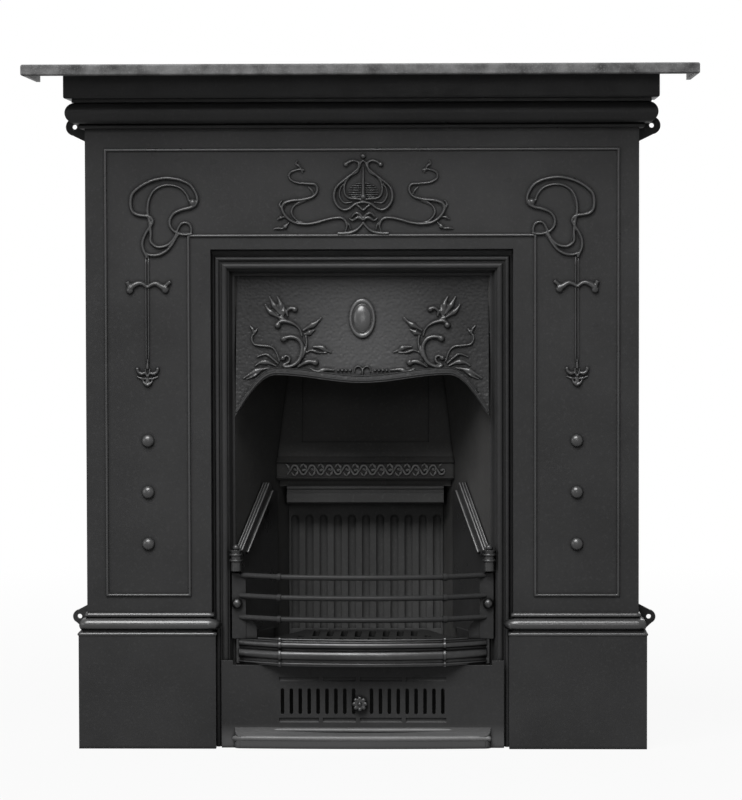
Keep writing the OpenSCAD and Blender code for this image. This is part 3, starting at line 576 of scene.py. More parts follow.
def iron_material(name, dark, light, roughness, grain=0.25, grain_scale=420, edge=0.0009,
                  specular=0.06, metallic=0.0, blotch=7.0, edge_wear_and_highlight=0.5, hammered=0.0,
                  speckle=(0.3, 1.5), highlight_painted_below=None, dense=False, crevice_shade=0.85,
                  painted_sheen=None, shade_painted_below=None):
    """Cast iron: blotched black, a fine cast grain, edges rounded and lightened as bare iron and
    painted highlight, and painted shade in the crevices. Lengths are in metres here, and scales are
    per metre.
    Dense is for the fine meshes of this script."""
    material = bpy.data.materials.new(name)
    iron = Iron(material, dark, light)
    rounded = iron.add("Bevel", {"Radius": edge}, samples=4).outputs["Normal"]

    iron.lay(iron.ranged(iron.noise(blotch, 6), *BLOTCHES, 0, 1), light)
    specks = iron.noise(grain_scale * SPECK_SCALE, 3)
    iron.brighten(iron.ranged(specks, *SPECKS, 0, speckle[0]), speckle[1])
    # edges and high points lighter, partly bare iron and partly painted highlight
    iron.wear_and_highlight_edges(rounded, edge_wear_and_highlight, dense)
    # painted highlight: lighter towards the foot
    if highlight_painted_below:
        iron.brighten(iron.local(iron.height(), highlight_painted_below, FOOT_HIGHLIGHT), FOOT_SHINE)
    # painted sheen around a place
    if painted_sheen:
        iron.painted_sheen(*painted_sheen)
    # painted shade: near black below a height
    if shade_painted_below:
        iron.lay(iron.local(iron.height(), shade_painted_below, BELOW_SHADE_FADE), PAINTED_SHADE_BLACK)
    # painted shade in the hollows and at the feet of raised lines
    iron.paint_crevice_shade(crevice_shade)

    normal = iron.bump(iron.noise(WAVE_SCALE, 3), WAVE_STRENGTH, WAVE_DEPTH, rounded)
    if hammered:
        normal = iron.bump(iron.dimples(), hammered, DIMPLE_DEPTH, normal)
    normal = iron.bump(iron.noise(grain_scale, 4, 0.6), grain, GRAIN_DEPTH, normal)
    rough = iron.ranged(iron.noise(SHINE_SCALE, 5), *SHINE_SPOTS, roughness - SHINIER,
                        roughness + DULLER)
    for key, value in (("Base Color", iron.colour), ("Roughness", rough), ("Normal", normal),
                       ("Metallic", metallic), ("Specular IOR Level", specular)):
        iron.feed(iron.inputs[key], value)
    return material


IRON = iron_material("black_iron", (0.0182, 0.0182, 0.0184), (0.0248, 0.0248, 0.0251), 0.33)
# the hood's hammered iron, lighter in its lower middle as a painted sheen
HOOD_IRON = iron_material("hammered_iron", (0.0155, 0.0155, 0.0157), (0.0215, 0.0215, 0.0218),
                          0.33, hammered=0.8, painted_sheen=((0, -0.055, 0.595), 0.15))
RELIEF_IRON = iron_material("relief_iron", (0.015, 0.015, 0.0152), (0.026, 0.026, 0.0263), 0.29,
                            specular=0.35, edge_wear_and_highlight=0.9, dense=True)
BEAD_IRON = iron_material("bead_iron", (0.017, 0.017, 0.0172), (0.025, 0.025, 0.0253), 0.3,
                          specular=0.3, edge_wear_and_highlight=0.35, dense=True)
ROLL_IRON = iron_material("roll_iron", (0.018, 0.018, 0.0182), (0.026, 0.026, 0.0263), 0.27,
                          specular=0.4, edge_wear_and_highlight=0.2, dense=True, grain=0.1)
# much lighter than the cover's iron: painted highlight on the toe's rolls
TOE_IRON = iron_material("toe_iron", (0.045, 0.045, 0.0453), (0.08, 0.08, 0.0805), 0.45,
                         specular=0.3, edge_wear_and_highlight=0.3, dense=True, crevice_shade=0.5, grain=0.1)
BRIGHT_IRON = iron_material("burnished_iron", (0.034, 0.034, 0.0343), (0.06, 0.06, 0.0605), 0.38,
                            metallic=1.0, edge_wear_and_highlight=0.5, grain=0.08, speckle=(0.3, 1.3))
ARM_IRON = iron_material("arm_iron", (0.013, 0.013, 0.0132), (0.02, 0.02, 0.0202), 0.32,
                         specular=0.35, edge_wear_and_highlight=1.0)
SHELF_IRON = iron_material("shelf_iron", (0.03, 0.03, 0.0302), (0.105, 0.105, 0.1055), 0.4,
                           grain=0.6, grain_scale=900, blotch=40, speckle=(0.5, 1.5))
# the ash pit cover, lighter towards its foot as painted highlight
COVER_IRON = iron_material("cover_iron", (0.019, 0.019, 0.0192), (0.026, 0.026, 0.0263), 0.3,
                           highlight_painted_below=0.035)
SOOT = iron_material("sooted_iron", (0.028, 0.028, 0.0274), (0.043, 0.0424, 0.0418), 0.45, edge_wear_and_highlight=0.3)
CHAR = iron_material("charred_iron", (0.009, 0.009, 0.009), (0.015, 0.015, 0.015), 0.5, edge_wear_and_highlight=0.3)
# lighter than the arms' iron: painted highlight for the reeds in the shaded opening, over a real
# metallic polish
REED_IRON = iron_material("polished_reeds", (0.07, 0.07, 0.07), (0.115, 0.115, 0.115), 0.44,
                          metallic=0.5, edge_wear_and_highlight=0.2, grain=0.05, dense=True, crevice_shade=0.1)
POLISHED_IRON = iron_material("polished_iron", (0.024, 0.024, 0.0242), (0.036, 0.036, 0.0364), 0.26,
                              specular=0.45, grain=0.1, dense=True, edge_wear_and_highlight=0.2)
# lighter than the fireback it stands on: painted highlight on the frieze in the shaded opening
FRIEZE_IRON = iron_material("frieze_iron", (0.056, 0.056, 0.056), (0.09, 0.09, 0.0895), 0.4,
                            specular=0.3, dense=True, edge_wear_and_highlight=0.8)
# the fireback: lighter than the black iron as painted light for the shade inside the opening, and
# near black low down as painted shade
FIREBACK_IRON = iron_material("fireback_iron", (0.031, 0.031, 0.031), (0.048, 0.048, 0.0478), 0.5,
                          edge_wear_and_highlight=0.25, crevice_shade=0.5, shade_painted_below=0.13)
STEEL = iron_material("blackened_steel", (0.1, 0.1, 0.1), (0.2, 0.2, 0.2), 0.4, metallic=1.0,
                      grain=0.1, edge=0.0003)
SLOT_MATERIALS = {
    "black_iron": IRON,
    "shelf_iron": SHELF_IRON,
    "sooted_iron": SOOT,
    "steel": STEEL,
}


# The nodes that have a material of their own
NODE_MATERIALS = {
    "hood": HOOD_IRON,
    "fireback": FIREBACK_IRON,
    "grate_nosing": BRIGHT_IRON,
    "left_bar_stud": BRIGHT_IRON,
    "right_bar_stud": BRIGHT_IRON,
    "slide_knob": BRIGHT_IRON,
    "bottom_grate": CHAR,
    "left_grate_cheek": ARM_IRON,
    "right_grate_cheek": ARM_IRON,
    "ashpit_cover": COVER_IRON,
}


def dress_cad_nodes():
    """Gives each CAD node its own material, or else the one of its slot."""
    for part in frame["record"]["subparts"]:
        node = part["node"]
        mesh = NODES[node].data
        mesh.materials.clear()
        mesh.materials.append(NODE_MATERIALS.get(node, SLOT_MATERIALS[part["material_slot"]]))


# The panel's relief ----------------------------------------------------------------------

# A line is its pixels in the photograph, its widths at the start, in the middle and at the
# end, and its height. A knob is its pixel, radius and height.
WHIP = (3.2, 3.6, 3.0)

CORNER_LINES = [
    # the outer arch, from the node down to the top of the hanging line
    ([(194.8, 206.0), (197.4, 200.5), (195.9, 193.3), (190.3, 185.1), (181.5, 180.5),
      (171.8, 178.5), (163.6, 178.2), (151.3, 181.0), (141.0, 186.2), (133.8, 192.3),
      (131.3, 197.4), (130.8, 205.6), (132.8, 211.8), (137.9, 214.9), (145.1, 215.9),
      (150.3, 217.4), (152.8, 221.0), (150.8, 226.2), (147.2, 231.3), (144.1, 237.4),
      (142.6, 243.0), (143.1, 248.7), (145.6, 254.4), (147.2, 258.0)], WHIP, 2.6),
    # the inner arch
    ([(189.2, 201.5), (187.2, 195.4), (182.1, 189.2), (175.9, 186.2), (168.7, 185.1),
      (161.5, 186.2), (154.4, 190.3), (150.3, 196.4), (148.2, 203.6), (147.7, 211.8),
      (149.2, 219.0), (150.3, 226.2), (150.9, 234.0), (150.8, 241.5), (155.4, 246.2),
      (160.5, 247.2), (166.7, 245.6), (171.8, 241.5), (175.9, 235.4), (178.0, 229.2),
      (181.0, 224.1), (185.1, 222.6), (189.2, 224.1), (191.3, 228.2), (191.3, 232.3)],
     (2.4, 3.2, 2.6), 2.3),
    # the outer lower bowl, running into the level line
    ([(142.6, 246.0), (144.1, 251.8), (149.2, 254.9), (155.4, 255.4), (161.5, 253.8),
      (167.7, 249.7), (172.8, 243.6), (176.9, 236.4), (180.0, 233.4)], (2.4, 3.4, 2.6), 2.4),
    # the right-hand sweep
    ([(195.4, 205.1), (190.3, 207.7), (182.1, 209.7), (174.9, 212.8), (171.3, 216.9),
      (169.7, 222.1), (170.8, 227.2), (174.9, 231.8), (181.0, 234.2), (187.5, 234.6),
      (192.3, 233.4)], (3.6, 3.0, 2.6), 2.5),
]
CORNER_KNOBS = [((192.8, 202.6), 3.6, 3.4)]

BOW_LINES = [
    ([(129.2, 289.2), (133.3, 285.8), (138.5, 283.3), (143.1, 284.0), (147.4, 287.4)],
     (6.0, 4.6, 3.6), 3.6),
    ([(147.4, 287.4), (151.6, 284.6), (156.4, 283.6), (161.5, 286.6), (166.7, 288.7)],
     (3.6, 4.6, 6.0), 3.6),
    ([(127.4, 281.8), (129.8, 287.0), (131.5, 289.5)], (4.4, 4.0, 3.4), 3.0),
    ([(170.6, 281.6), (166.4, 285.0), (163.0, 287.6)], (4.0, 3.8, 3.0), 3.0),
]
BOW_KNOBS = [((130.0, 290.3), 3.6, 3.4), ((165.4, 289.6), 3.6, 3.4)]

# The bud at the foot of the hanging line: its axis, and the lines of one half
BUD_AXIS = 147.7
BUD_HALF = [
    ([(147.7, 359.6), (147.7, 364.0), (147.7, 369.0)], (1.4, 3.2, 4.4), 3.2),
    ([(147.6, 377.0), (145.2, 373.4), (141.6, 373.8), (138.6, 372.0), (137.4, 369.4)],
     (2.6, 5.8, 4.6), 3.8),
    ([(145.4, 369.2), (146.0, 373.0), (147.5, 376.8)], (2.4, 3.0, 3.2), 3.4),
    ([(146.8, 378.8), (142.0, 378.6), (137.0, 376.4)], (2.4, 4.2, 1.8), 2.4),
    ([(143.0, 379.8), (144.2, 382.8), (147.7, 385.4)], (2.0, 4.4, 5.0), 3.6),
    ([(147.7, 377.6), (147.7, 381.6), (147.7, 387.0)], (4.0, 7.0, 2.0), 3.0),
]
BUD_KNOBS = [((137.6, 369.0), 2.7, 3.6), ((157.8, 369.0), 2.7, 3.6)]

MIDDLE_LINES = [
    # one side of the bud: outline, inner outline and the fold between them
    ([(367.9, 161.8), (368.0, 167.7), (372.4, 172.1), (379.7, 178.0), (387.1, 183.9),
      (391.5, 189.8), (392.3, 198.7), (388.6, 206.0), (382.7, 209.7), (376.8, 208.2),
      (370.9, 203.8), (363.4, 201.9)], (2.6, 3.4, 3.0), 3.0),
    ([(366.0, 165.0), (369.5, 172.0), (376.0, 176.0), (380.5, 181.0), (382.3, 187.5),
      (381.5, 194.2), (377.4, 198.0), (371.0, 198.8), (363.4, 199.6)], (1.8, 2.4, 2.2), 2.2),
    ([(381.4, 182.6), (386.0, 188.0), (387.0, 196.0), (382.4, 202.6), (374.0, 202.0)],
     (1.6, 2.2, 1.4), 2.0),
    # the curl at the tip
    ([(366.4, 166.0), (368.2, 162.4), (373.6, 160.6), (379.6, 163.2)], (2.2, 2.6, 3.2), 2.6),
    ([(363.2, 160.6), (365.6, 162.4), (367.0, 166.6)], (2.0, 2.2, 1.6), 2.2),
    # the V under the bud and the flower below it
    ([(363.4, 210.4), (368.7, 205.6), (373.8, 203.8)], (3.0, 2.6, 1.8), 2.6),
    ([(363.4, 218.6), (366.6, 214.4), (371.0, 213.2), (374.6, 216.6)], (3.0, 3.6, 2.2), 3.2),
    ([(363.4, 219.8), (368.6, 217.4), (374.0, 220.4), (377.6, 218.0)], (3.2, 3.6, 2.0), 3.0),
    # the rise of the level line
    ([(363.2, 222.2), (365.9, 226.0), (370.4, 230.2), (376.0, 232.6), (382.0, 233.3),
      (389.0, 233.3)], (2.4, 3.4, 3.4), 2.4),
    # leaves where the tendril starts
    ([(381.0, 231.0), (379.6, 225.6), (381.2, 220.6), (385.0, 218.0)], (1.4, 3.0, 2.6), 2.4),
    ([(376.0, 229.6), (377.4, 224.6), (381.6, 219.6)], (1.2, 2.4, 1.6), 2.0),
    # the tendril
    ([(381.2, 220.4), (384.8, 218.0), (391.6, 217.8), (401.0, 219.8), (411.0, 222.6),
      (421.0, 223.8), (431.4, 222.4), (439.6, 217.2), (444.4, 209.4), (442.8, 203.4),
      (434.8, 200.4), (422.8, 199.2), (413.4, 196.2), (409.2, 190.2), (411.4, 184.4),
      (420.0, 183.4), (430.2, 182.2), (437.0, 178.2), (436.4, 172.4), (428.4, 169.2),
      (422.4, 170.0)], (2.8, 3.4, 2.0), 2.6),
    # its second line, where it is broad
    ([(421.0, 223.2), (430.0, 219.8), (435.0, 212.8), (433.2, 206.6), (428.4, 202.6),
      (421.0, 200.8)], (1.4, 2.6, 1.4), 2.0),
    ([(444.0, 210.0), (447.2, 204.6), (444.6, 200.4)], (1.6, 2.2, 1.2), 2.0),
    ([(412.0, 196.2), (414.6, 190.6), (418.6, 186.6)], (1.2, 2.2, 1.2), 1.8),
    ([(424.0, 172.6), (427.0, 166.4), (430.6, 163.6), (429.0, 160.4)], (1.6, 2.6, 1.4), 2.2),
    # leaves at its lower bend
    ([(441.6, 216.6), (446.4, 217.4), (449.6, 219.4)], (1.6, 3.6, 1.6), 2.4),
    ([(437.2, 222.0), (441.2, 225.8), (444.6, 228.8)], (1.4, 3.2, 1.6), 2.4),
    ([(443.6, 228.2), (449.6, 228.0), (453.6, 228.8)], (2.0, 2.8, 1.2), 2.0),
]
MIDDLE_KNOBS = [((380.8, 164.4), 2.6, 2.8), ((441.4, 226.4), 2.4, 2.6)]
STEM_LINES = [
    ([(363.2, 167.0), (363.3, 180.0), (363.4, 194.0)], (1.6, 2.6, 3.4), 2.8),
]
STEM_KNOBS = [((363.4, 196.8), 3.2, 3.8), ((363.6, 156.0), 2.6, 2.6)]
# The short strokes in the middle of the bud: the row of each and the column where it ends
HATCH_ROWS = [(183.4, 371.0), (185.6, 374.6), (187.8, 377.0), (190.0, 378.4), (192.2, 378.8),
              (194.4, 378.0), (196.4, 375.0)]
HATCH_START = 364.6
HATCH_SAG = 0.2
HATCH_WIDTHS = (0.9, 1.3, 0.7)
HATCH_HEIGHT = 1.5

PANEL_AXIS = 362.1                    # the pixel column of the panel's middle
MOTIF_AXIS = 363.3                    # and that of the motif at its top


def with_mirror(lines, axis):
    """The lines and their mirror images about an upright line of the photograph."""
    return lines + [([(2 * axis - x, y) for x, y in pixels], widths, height)
                    for pixels, widths, height in lines]


def hatch_lines():
    lines = []
    for y, end in HATCH_ROWS:
        middle = ((HATCH_START + end) / 2, y + HATCH_SAG)
        lines.append(([(HATCH_START, y), middle, (end, y)], HATCH_WIDTHS, HATCH_HEIGHT))
    return lines


def make_panel_relief():
    relief("corner_relief", FACE, CORNER_LINES, CORNER_KNOBS, axis=PANEL_AXIS, bold=1.6, high=1.9)
    relief("bow_relief", FACE, BOW_LINES, BOW_KNOBS, axis=PANEL_AXIS, bold=1.6, high=1.6)
    relief("pendant_relief", FACE, with_mirror(BUD_HALF, BUD_AXIS), BUD_KNOBS, axis=PANEL_AXIS,
           voxel=0.55, bold=1.15, high=1.3)
    relief("middle_relief", FACE, MIDDLE_LINES + STEM_LINES + hatch_lines(),
           MIDDLE_KNOBS + STEM_KNOBS, axis=MOTIF_AXIS, voxel=0.55, bold=1.55, high=1.8)


# The raised bead around the panel and the hanging double lines, as in the part's source
BEAD_OUT, BEAD_IN, BEAD_TOP, BEAD_IN_TOP, BEAD_FOOT = 372.2, 251.8, 871.2, 746.8, 223.3
BEAD_WIDTH = 4.2
BEAD_HEIGHT = 2.6
HANGING_X = (310.2, 313.8)
HANGING_Z = (562, 717)
HANGING_WIDTHS = (2.2, 2.2, 2.2)
HANGING_HEIGHT = 2.0


def make_panel_beads():
    """The bead around the panel, and the double lines that hang at its sides."""
    bm = bmesh.new()
    corners = [(-BEAD_OUT, BEAD_FOOT), (-BEAD_OUT, BEAD_TOP), (BEAD_OUT, BEAD_TOP),
               (BEAD_OUT, BEAD_FOOT), (BEAD_IN, BEAD_FOOT), (BEAD_IN, BEAD_IN_TOP),
               (-BEAD_IN, BEAD_IN_TOP), (-BEAD_IN, BEAD_FOOT)]
    moulding(bm, FACE, [Vector(c) * MM for c in corners], BEAD_WIDTH, BEAD_HEIGHT)
    for side in (-1, 1):
        for x in HANGING_X:
            line = [Vector((side * x, z)) * MM for z in HANGING_Z]
            ridge(bm, FACE, line, HANGING_WIDTHS, HANGING_HEIGHT, step=20)
    dress(add_object("panel_beads", bm, smooth=True), BEAD_IRON)


STUD_X = 312
STUD_Z = (298, 373.5, 448.5)
STUD_RADIUS = 9.4
STUD_HEIGHT = 7.0


def make_panel_studs():
    """Smooth domes over the studs of the two side panels."""
    bm = bmesh.new()
    for side in (-1, 1):
        for z in STUD_Z:
            centre = Vector((side * STUD_X, z)) * MM
            knob(bm, FACE, centre, STUD_RADIUS, STUD_HEIGHT, rows=9, sides=40)
    dress(add_object("panel_studs", bm, smooth=True), ROLL_IRON)


# The mouldings of the plinths, as in the part's source: the inner and outer end of each, its
# depth before the wall, its height and its radius
PLINTH_ROLLS = [
    (223.8, 403.2, 73.7, 180.4, 9.45),
    (220.4, 401.6, 69.6, 193.8, 4.0),
    (214.7, 412.3, 82.8, 167.4, 2.6),
]
ROLL_CORNER = 3
RETURN_END = -10                      # the outer return stops short of the wall


def make_plinth_rolls():
    """Rolls over the plinths' mouldings, with returns at both ends."""
    bm = bmesh.new()
    for inner, outer, depth, z, radius in PLINTH_ROLLS:
        c = ROLL_CORNER
        plan = [(outer, RETURN_END), (outer, c - depth), (outer, -depth), (outer - c, -depth),
                (inner + c, -depth), (inner, -depth), (inner, c - depth), (inner, 3 * c - depth)]
        for side in (-1, 1):
            rod(bm, [Vector((side * x, y, z)) for x, y in plan], radius, UP, sides=24)
    dress(add_object("plinth_rolls", bm, smooth=True), ROLL_IRON)


# The grate's arms and toe ----------------------------------------------------------------

# The sloping frame of an arm, as in the part's source
ARM_FOOT = Vector((185.7, -44, 0))
ARM_SPLAY = math.radians(20.45)
ARM_START = Vector((0, 2, 290))
ARM_END = Vector((0, 99, 379))
# Each reed's place across the arm and above its axis, its radius, and how far past the arm's
# start and short of its end it runs
REEDS = [
    (-1.7, 1.0, 1.15, -6, 0),
    (-6.0, 1.0, 1.15, -6, 0),
    (-10.3, 1.0, 1.15, -6, 0),
    (-13.6, -11.4, 1.3, 2, 4),
]


def make_arm_reeds():
    """Polished reeds along the sloping arms of the grate."""
    bm = bmesh.new()
    along = (ARM_END - ARM_START).normalized()
    rise = Vector((0, -along.z, along.y))
    splay = Matrix.Rotation(ARM_SPLAY, 3, "Z")
    for x, lift, radius, late, short in REEDS:
        foot = ARM_START + Vector((x, 0, 0)) + rise * lift + along * late
        head = ARM_END + Vector((x, 0, 0)) + rise * lift - along * short
        path = [ARM_FOOT + splay @ p for p in (foot, foot.lerp(head, 0.5), head)]
        for side in (-1, 1):
            rod(bm, [mirrored(p, side) for p in path], radius, mirrored(splay @ rise, side))
    dress(add_object("arm_reeds", bm, smooth=True), REED_IRON)


# The toe's plan, as in the part's source
TOE_X = 178.5
TOE_FRONT = -86
TOE_RISE = 6
TOE_RADIUS = (TOE_X ** 2 + TOE_RISE ** 2) / (2 * TOE_RISE)
TOE_END = Vector((177.5, -70.2, 0))
TOE_END_RADIUS = 9.5
# The lower roll: how far it lies behind the toe's front, its height, its radius, the number
# and spacing of its points on each side of the middle, and the directions of those around
# the toe's end, in degrees
LOWER_BACK, LOWER_Z, LOWER_RADIUS = 3.4, 14.4, 4.5
LOWER_COUNT = 12
LOWER_STEP = 14.6
LOWER_TURNS = (-60, -35, -10)
# and the upper one
UPPER_BACK, UPPER_Z, UPPER_RADIUS = 12.4, 25.6, 3.2
UPPER_COUNT = 10
UPPER_STEP = 17.2


def toe_point(x, back, z):
    """A point at a distance behind the toe's bowed front."""
    return Vector((x, TOE_FRONT + TOE_RADIUS - math.sqrt(TOE_RADIUS ** 2 - x * x) + back, z))


def make_toe_rolls():
    """The two rolls that finish the toe: the lower one runs round its ends."""
    bm = bmesh.new()
    half = [toe_point(LOWER_STEP * (i + 1), LOWER_BACK, LOWER_Z) for i in range(LOWER_COUNT)]
    for turn in LOWER_TURNS:
        out = spoke(math.radians(turn)).to_3d() * (TOE_END_RADIUS - LOWER_BACK)
        half.append(TOE_END + out + UP * LOWER_Z)
    middle = toe_point(0, LOWER_BACK, LOWER_Z)
    path = [mirrored(p, -1) for p in reversed(half)] + [middle] + half
    rod(bm, path, LOWER_RADIUS, UP)
    places = range(-UPPER_COUNT, UPPER_COUNT + 1)
    rod(bm, [toe_point(UPPER_STEP * i, UPPER_BACK, UPPER_Z) for i in places], UPPER_RADIUS, UP)
    dress(add_object("toe_rolls", bm, smooth=True), TOE_IRON, body="ash_front")


# The hood --------------------------------------------------------------------------------

HOOD_TOP_Y = -40
HOOD_TOP_Z = 712
HOOD_RADIUS = 940                     # of the bend of its face
HOOD = Bent((0, HOOD_TOP_Y * MM, HOOD_TOP_Z * MM), HOOD_RADIUS * MM)

SPRAY_LINES = [
    # the round scroll and the stem that rises from it
    ([(282.6, 359.4), (285.8, 356.2), (289.6, 358.0), (288.6, 362.4), (283.4, 365.4),
      (286.5, 367.2), (293.5, 365.4), (299.3, 360.2), (302.3, 350.8), (301.5, 343.8),
      (297.5, 338.8), (291.2, 337.0), (283.6, 338.2)], (3.0, 5.2, 4.8), 4.0),
    ([(296.0, 364.2), (301.6, 358.8), (305.0, 350.8), (306.8, 342.6), (305.8, 336.0)],
     (2.0, 3.6, 2.4), 3.2),
    ([(302.2, 336.4), (300.0, 329.6), (295.4, 325.0), (289.0, 322.2), (281.6, 321.4),
      (277.4, 324.6)], (2.0, 3.8, 4.6), 3.8),
    ([(287.8, 316.4), (287.0, 311.6), (290.4, 308.4), (295.4, 309.0)], (2.4, 3.8, 4.6), 3.8),
    # the tulip
    ([(265.2, 304.4), (269.6, 311.0), (279.8, 317.8)], (2.2, 6.8, 3.0), 3.8),
    ([(269.6, 296.8), (273.6, 304.4), (280.0, 314.4)], (2.0, 7.0, 3.0), 3.6),
    ([(277.2, 296.4), (280.6, 304.0), (281.4, 315.0)], (2.2, 7.0, 3.0), 3.6),
    ([(283.6, 304.6), (283.8, 310.4), (281.8, 318.2)], (2.0, 6.4, 3.0), 3.2),
    ([(279.6, 317.4), (283.8, 319.6), (287.2, 321.4)], (5.0, 5.6, 3.4), 3.6),
    # the two leaves on the right
    ([(321.4, 317.4), (316.4, 322.8), (309.8, 326.6), (302.8, 330.8)], (1.4, 7.0, 2.4), 3.4),
    ([(315.4, 329.6), (309.8, 332.6), (304.0, 334.6)], (1.6, 6.8, 2.4), 3.2),
    ([(331.6, 352.6), (326.0, 350.4), (321.4, 347.6), (313.0, 347.0)], (1.2, 6.8, 2.6), 3.2),
    ([(327.0, 352.8), (319.0, 352.6), (311.4, 350.6), (305.0, 353.4)], (1.2, 3.8, 2.0), 2.8),
    # the scroll at the lower right
    ([(297.6, 367.6), (303.2, 364.0), (309.0, 361.8), (314.6, 362.6)], (2.2, 5.4, 5.2), 4.2),
    ([(310.4, 368.6), (317.6, 372.0), (325.4, 369.8), (334.4, 370.4)], (2.0, 6.4, 2.2), 3.2),
    # the tendril on the left with its bud
    ([(279.6, 362.0), (276.2, 352.0), (271.4, 347.2), (263.4, 346.0), (254.8, 344.6),
      (251.8, 339.2), (252.8, 334.6)], (2.0, 3.2, 2.4), 3.0),
    ([(249.8, 325.6), (252.8, 329.4), (254.0, 334.4)], (1.6, 3.8, 2.2), 3.0),
    ([(257.6, 328.6), (256.0, 331.0), (253.6, 334.8)], (1.6, 3.4, 2.2), 2.8),
    ([(278.4, 364.0), (272.2, 358.4), (265.6, 354.4), (256.6, 357.6)], (2.2, 3.6, 1.6), 3.0),
    ([(276.8, 366.6), (268.4, 362.6), (260.4, 362.8), (254.8, 366.4)], (2.2, 6.6, 1.8), 3.2),
    ([(270.0, 368.2), (262.6, 369.4), (254.2, 372.2), (243.0, 378.6)], (2.0, 6.8, 1.6), 3.2),
    ([(262.0, 370.0), (254.6, 375.8), (246.4, 379.4)], (2.0, 3.6, 1.6), 2.8),
]
SPRAY_KNOBS = [((283.8, 339.0), 3.6, 4.4), ((277.8, 325.6), 3.6, 4.4), ((295.0, 309.6), 3.2, 4.0),
               ((315.4, 362.8), 3.8, 4.6), ((283.0, 358.4), 3.0, 3.8)]
HOOD_FLOWER = [
    ([(362.6, 369.6), (358.6, 366.4), (355.0, 368.6), (354.8, 372.4)], (3.0, 3.4, 2.0), 3.0),
    ([(362.6, 369.6), (366.6, 366.4), (370.2, 368.6), (370.4, 372.4)], (3.0, 3.4, 2.0), 3.0),
    ([(362.6, 368.4), (362.6, 372.0), (362.6, 375.0)], (3.6, 4.2, 2.4), 3.4),
]
HOOD_AXIS = 362.6                     # the pixel column of the hood's middle
HOOD_BEAD_ROW = [(338.4 + 3.9 * i, 370.6 + 0.02 * i) for i in range(4)]
HOOD_BEAD_RADIUS = 2.1
HOOD_BEAD_HEIGHT = 2.6


def make_hood_relief():
    relief("hood_spray", HOOD, SPRAY_LINES, SPRAY_KNOBS, axis=HOOD_AXIS, voxel=0.6, bold=1.45,
           high=1.45)
    beads = [(p, HOOD_BEAD_RADIUS, HOOD_BEAD_HEIGHT) for p in HOOD_BEAD_ROW]
    relief("hood_beads", HOOD, [], beads, axis=HOOD_AXIS, voxel=0.5, bold=1.2, high=1.5)
    relief("hood_flower", HOOD, HOOD_FLOWER, voxel=0.5, high=1.4)


# The hood's lower edge, as in the part's source: it dips in the middle, rises to a shoulder on
# each side and falls to the hood's sides
DIP_Z = 532.5
SHOULDER_X, SHOULDER_Z = 126, 544
SIDE_X, SIDE_Z = 184.3, 484.5
# The beads along it: their ends, and of each its place above the edge, widths, height, how far
# its foot stands off the hood and how many points it is shorter at each end
RIM_REACH = 183.2
RIM_STEPS = 70
RIM_BEADS = [
    (2.4, (4.6, 4.6, 4.6), 5.6, 3.0, 0),
    (9.4, (2.0, 3.4, 2.0), 5.2, 2.5, 3),
]


def hood_edge(x):
    """Height of the hood's lower edge."""
    if abs(x) < SHOULDER_X:
        wave = (1 - math.cos(math.pi * abs(x) / SHOULDER_X)) / 2
        return DIP_Z + (SHOULDER_Z - DIP_Z) * wave
    turn = math.pi / 2 * (abs(x) - SHOULDER_X) / (SIDE_X - SHOULDER_X)
    return SIDE_Z + (SHOULDER_Z - SIDE_Z) * math.cos(turn)


def hood_point(x, z):
    """A point of the hood's carrier, in metres."""
    return Vector((x * MM, (z - HOOD_TOP_Z) * MM))


def make_hood_rim():
    """Two beads along the rolled lower edge."""
    bm = bmesh.new()
    xs = [-RIM_REACH + 2 * RIM_REACH * i / RIM_STEPS for i in range(RIM_STEPS + 1)]
    for above, widths, height, foot, short in RIM_BEADS:
        line = [hood_point(x, hood_edge(x) + above) for x in xs[short:len(xs) - short]]
        ridge(bm, HOOD, line, widths, height, sunk=-foot, step=3)
    dress(add_object("hood_rim_beads", bm, smooth=True), IRON)


JOINT_PLACE = (188.7, -38.4)          # between the hood's edge, the frame and the smoke plate
JOINT_HEIGHTS = (601, 713)
JOINT_RADIUS = 5.7
JOINT_STEP = 4
# The joints' uneven run: how far it sways across and in depth, and how slowly
SWAY_X, SWAY_X_OVER = 0.3, 5.3
SWAY_Y, SWAY_Y_OVER = 0.25, 3.7


def make_hood_joints():
    """Beads of fire cement that close the upright joints beside the hood."""
    bm = bmesh.new()
    low, high = JOINT_HEIGHTS
    path = []
    for z in range(low, high + 1, JOINT_STEP):
        x = JOINT_PLACE[0] + SWAY_X * math.sin(z / SWAY_X_OVER)
        y = JOINT_PLACE[1] + SWAY_Y * math.sin(z / SWAY_Y_OVER)
        path.append(Vector((x, y, z)))
    for side in (-1, 1):
        rod(bm, [mirrored(p, side) for p in path], JOINT_RADIUS, Vector((0, 1, 0)), sides=20)
    dress(add_object("hood_joints", bm, smooth=True), SOOT)


BOSS_Z = 626
BOSS_OVAL = 1.52                      # height against width
BOSS_SIDES = 64
# From the rim inward: half the width at each level, and the level above the hood
BOSS_PROFILE = [(19.3, -0.5), (19.2, 1.6), (18.8, 3.3), (17.4, 4.3), (15.8, 4.0), (14.7, 3.0),
                (14.2, 2.3), (13.5, 2.9), (12.3, 4.9), (9.6, 6.5), (6.0, 7.6), (2.4, 8.0)]


def make_cabochon():
    """The oval boss in the middle of the hood: a smooth dome in a rounded ring."""
    bm = bmesh.new()
    centre = hood_point(0, BOSS_Z)
    rings = []
    for reach, level in BOSS_PROFILE:
        ring = []
        for angle in circle(BOSS_SIDES):
            u = reach * math.cos(angle) * MM
            v = BOSS_OVAL * reach * math.sin(angle) * MM
            ring.append(bm.verts.new(HOOD.at(centre.x + u, centre.y + v, level * MM)))
        rings.append(ring)
    skin(bm, rings)
    cap_ends(bm, rings)
    dress(add_object("hood_cabochon", bm, smooth=True), POLISHED_IRON)


# The frieze ------------------------------------------------------------------------------

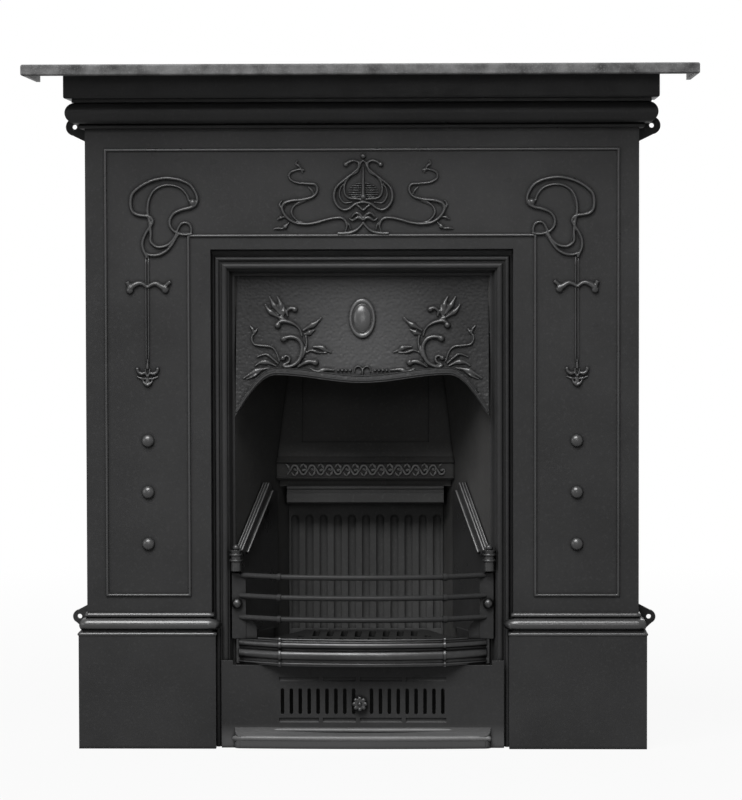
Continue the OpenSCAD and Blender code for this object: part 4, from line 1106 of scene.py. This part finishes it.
FRIEZE_Y = 96
FRIEZE_Z = 396                        # of its middle line
FRIEZE = Flat((0, FRIEZE_Y * MM, FRIEZE_Z * MM))
FRIEZE_PERIOD = 26.0
FRIEZE_COUNT = 9
# The lines of half a period: their points, widths and heights
FRIEZE_LINES = [
    # the scroll
    ([(0, -7.0), (4, -1.2), (9, 6.4), (14, 5.4), (15, 0.4), (11.4, -0.8)], (1.6, 3.6, 2.6), 3.0),
    # the leaf and the blade that leave it
    ([(3, 0), (1.5, 5.0), (-2.5, 9.4)], (1.4, 4.2, 1.2), 2.8),
    ([(6.5, -3.5), (8.5, -7.0), (12, -9.6)], (1.0, 3.0, 1.0), 2.2),
]
# The knob in the scroll: its place, radius and height
FRIEZE_KNOB = ((11.2, 0.8), 2.4, 3.8)
# The plain bands above and below
BAND_X = 119
BAND_Z = 12.4
BAND_WIDTHS = (1.8, 1.8, 1.8)
BAND_HEIGHT = 1.6


def make_frieze():
    """A running scroll with leaves along the band above the fireback."""
    bm = bmesh.new()
    for i in range(FRIEZE_COUNT):
        left = (i - FRIEZE_COUNT / 2) * FRIEZE_PERIOD
        for start, side in ((left, 1), (left + FRIEZE_PERIOD / 2, -1)):
            for points, widths, height in FRIEZE_LINES:
                line = [Vector((start + x, side * z)) * MM for x, z in points]
                ridge(bm, FRIEZE, line, widths, height, step=2)
            (x, z), radius, height = FRIEZE_KNOB
            knob(bm, FRIEZE, Vector((start + x, side * z)) * MM, radius, height)
    for z in (-BAND_Z, BAND_Z):
        band = [Vector((x, z)) * MM for x in (-BAND_X, 0, BAND_X)]
        ridge(bm, FRIEZE, band, BAND_WIDTHS, BAND_HEIGHT, step=8)
    dress(add_object("frieze_relief", bm, smooth=True), FRIEZE_IRON)


bpy.context.scene.view_settings.view_transform = "Standard"
make_camera()
make_world()
make_floor()
make_lights()
dress_cad_nodes()
make_panel_relief()
make_panel_beads()
make_panel_studs()
make_plinth_rolls()
make_arm_reeds()
make_toe_rolls()
make_hood_relief()
make_hood_rim()
make_hood_joints()
make_cabochon()
make_frieze()
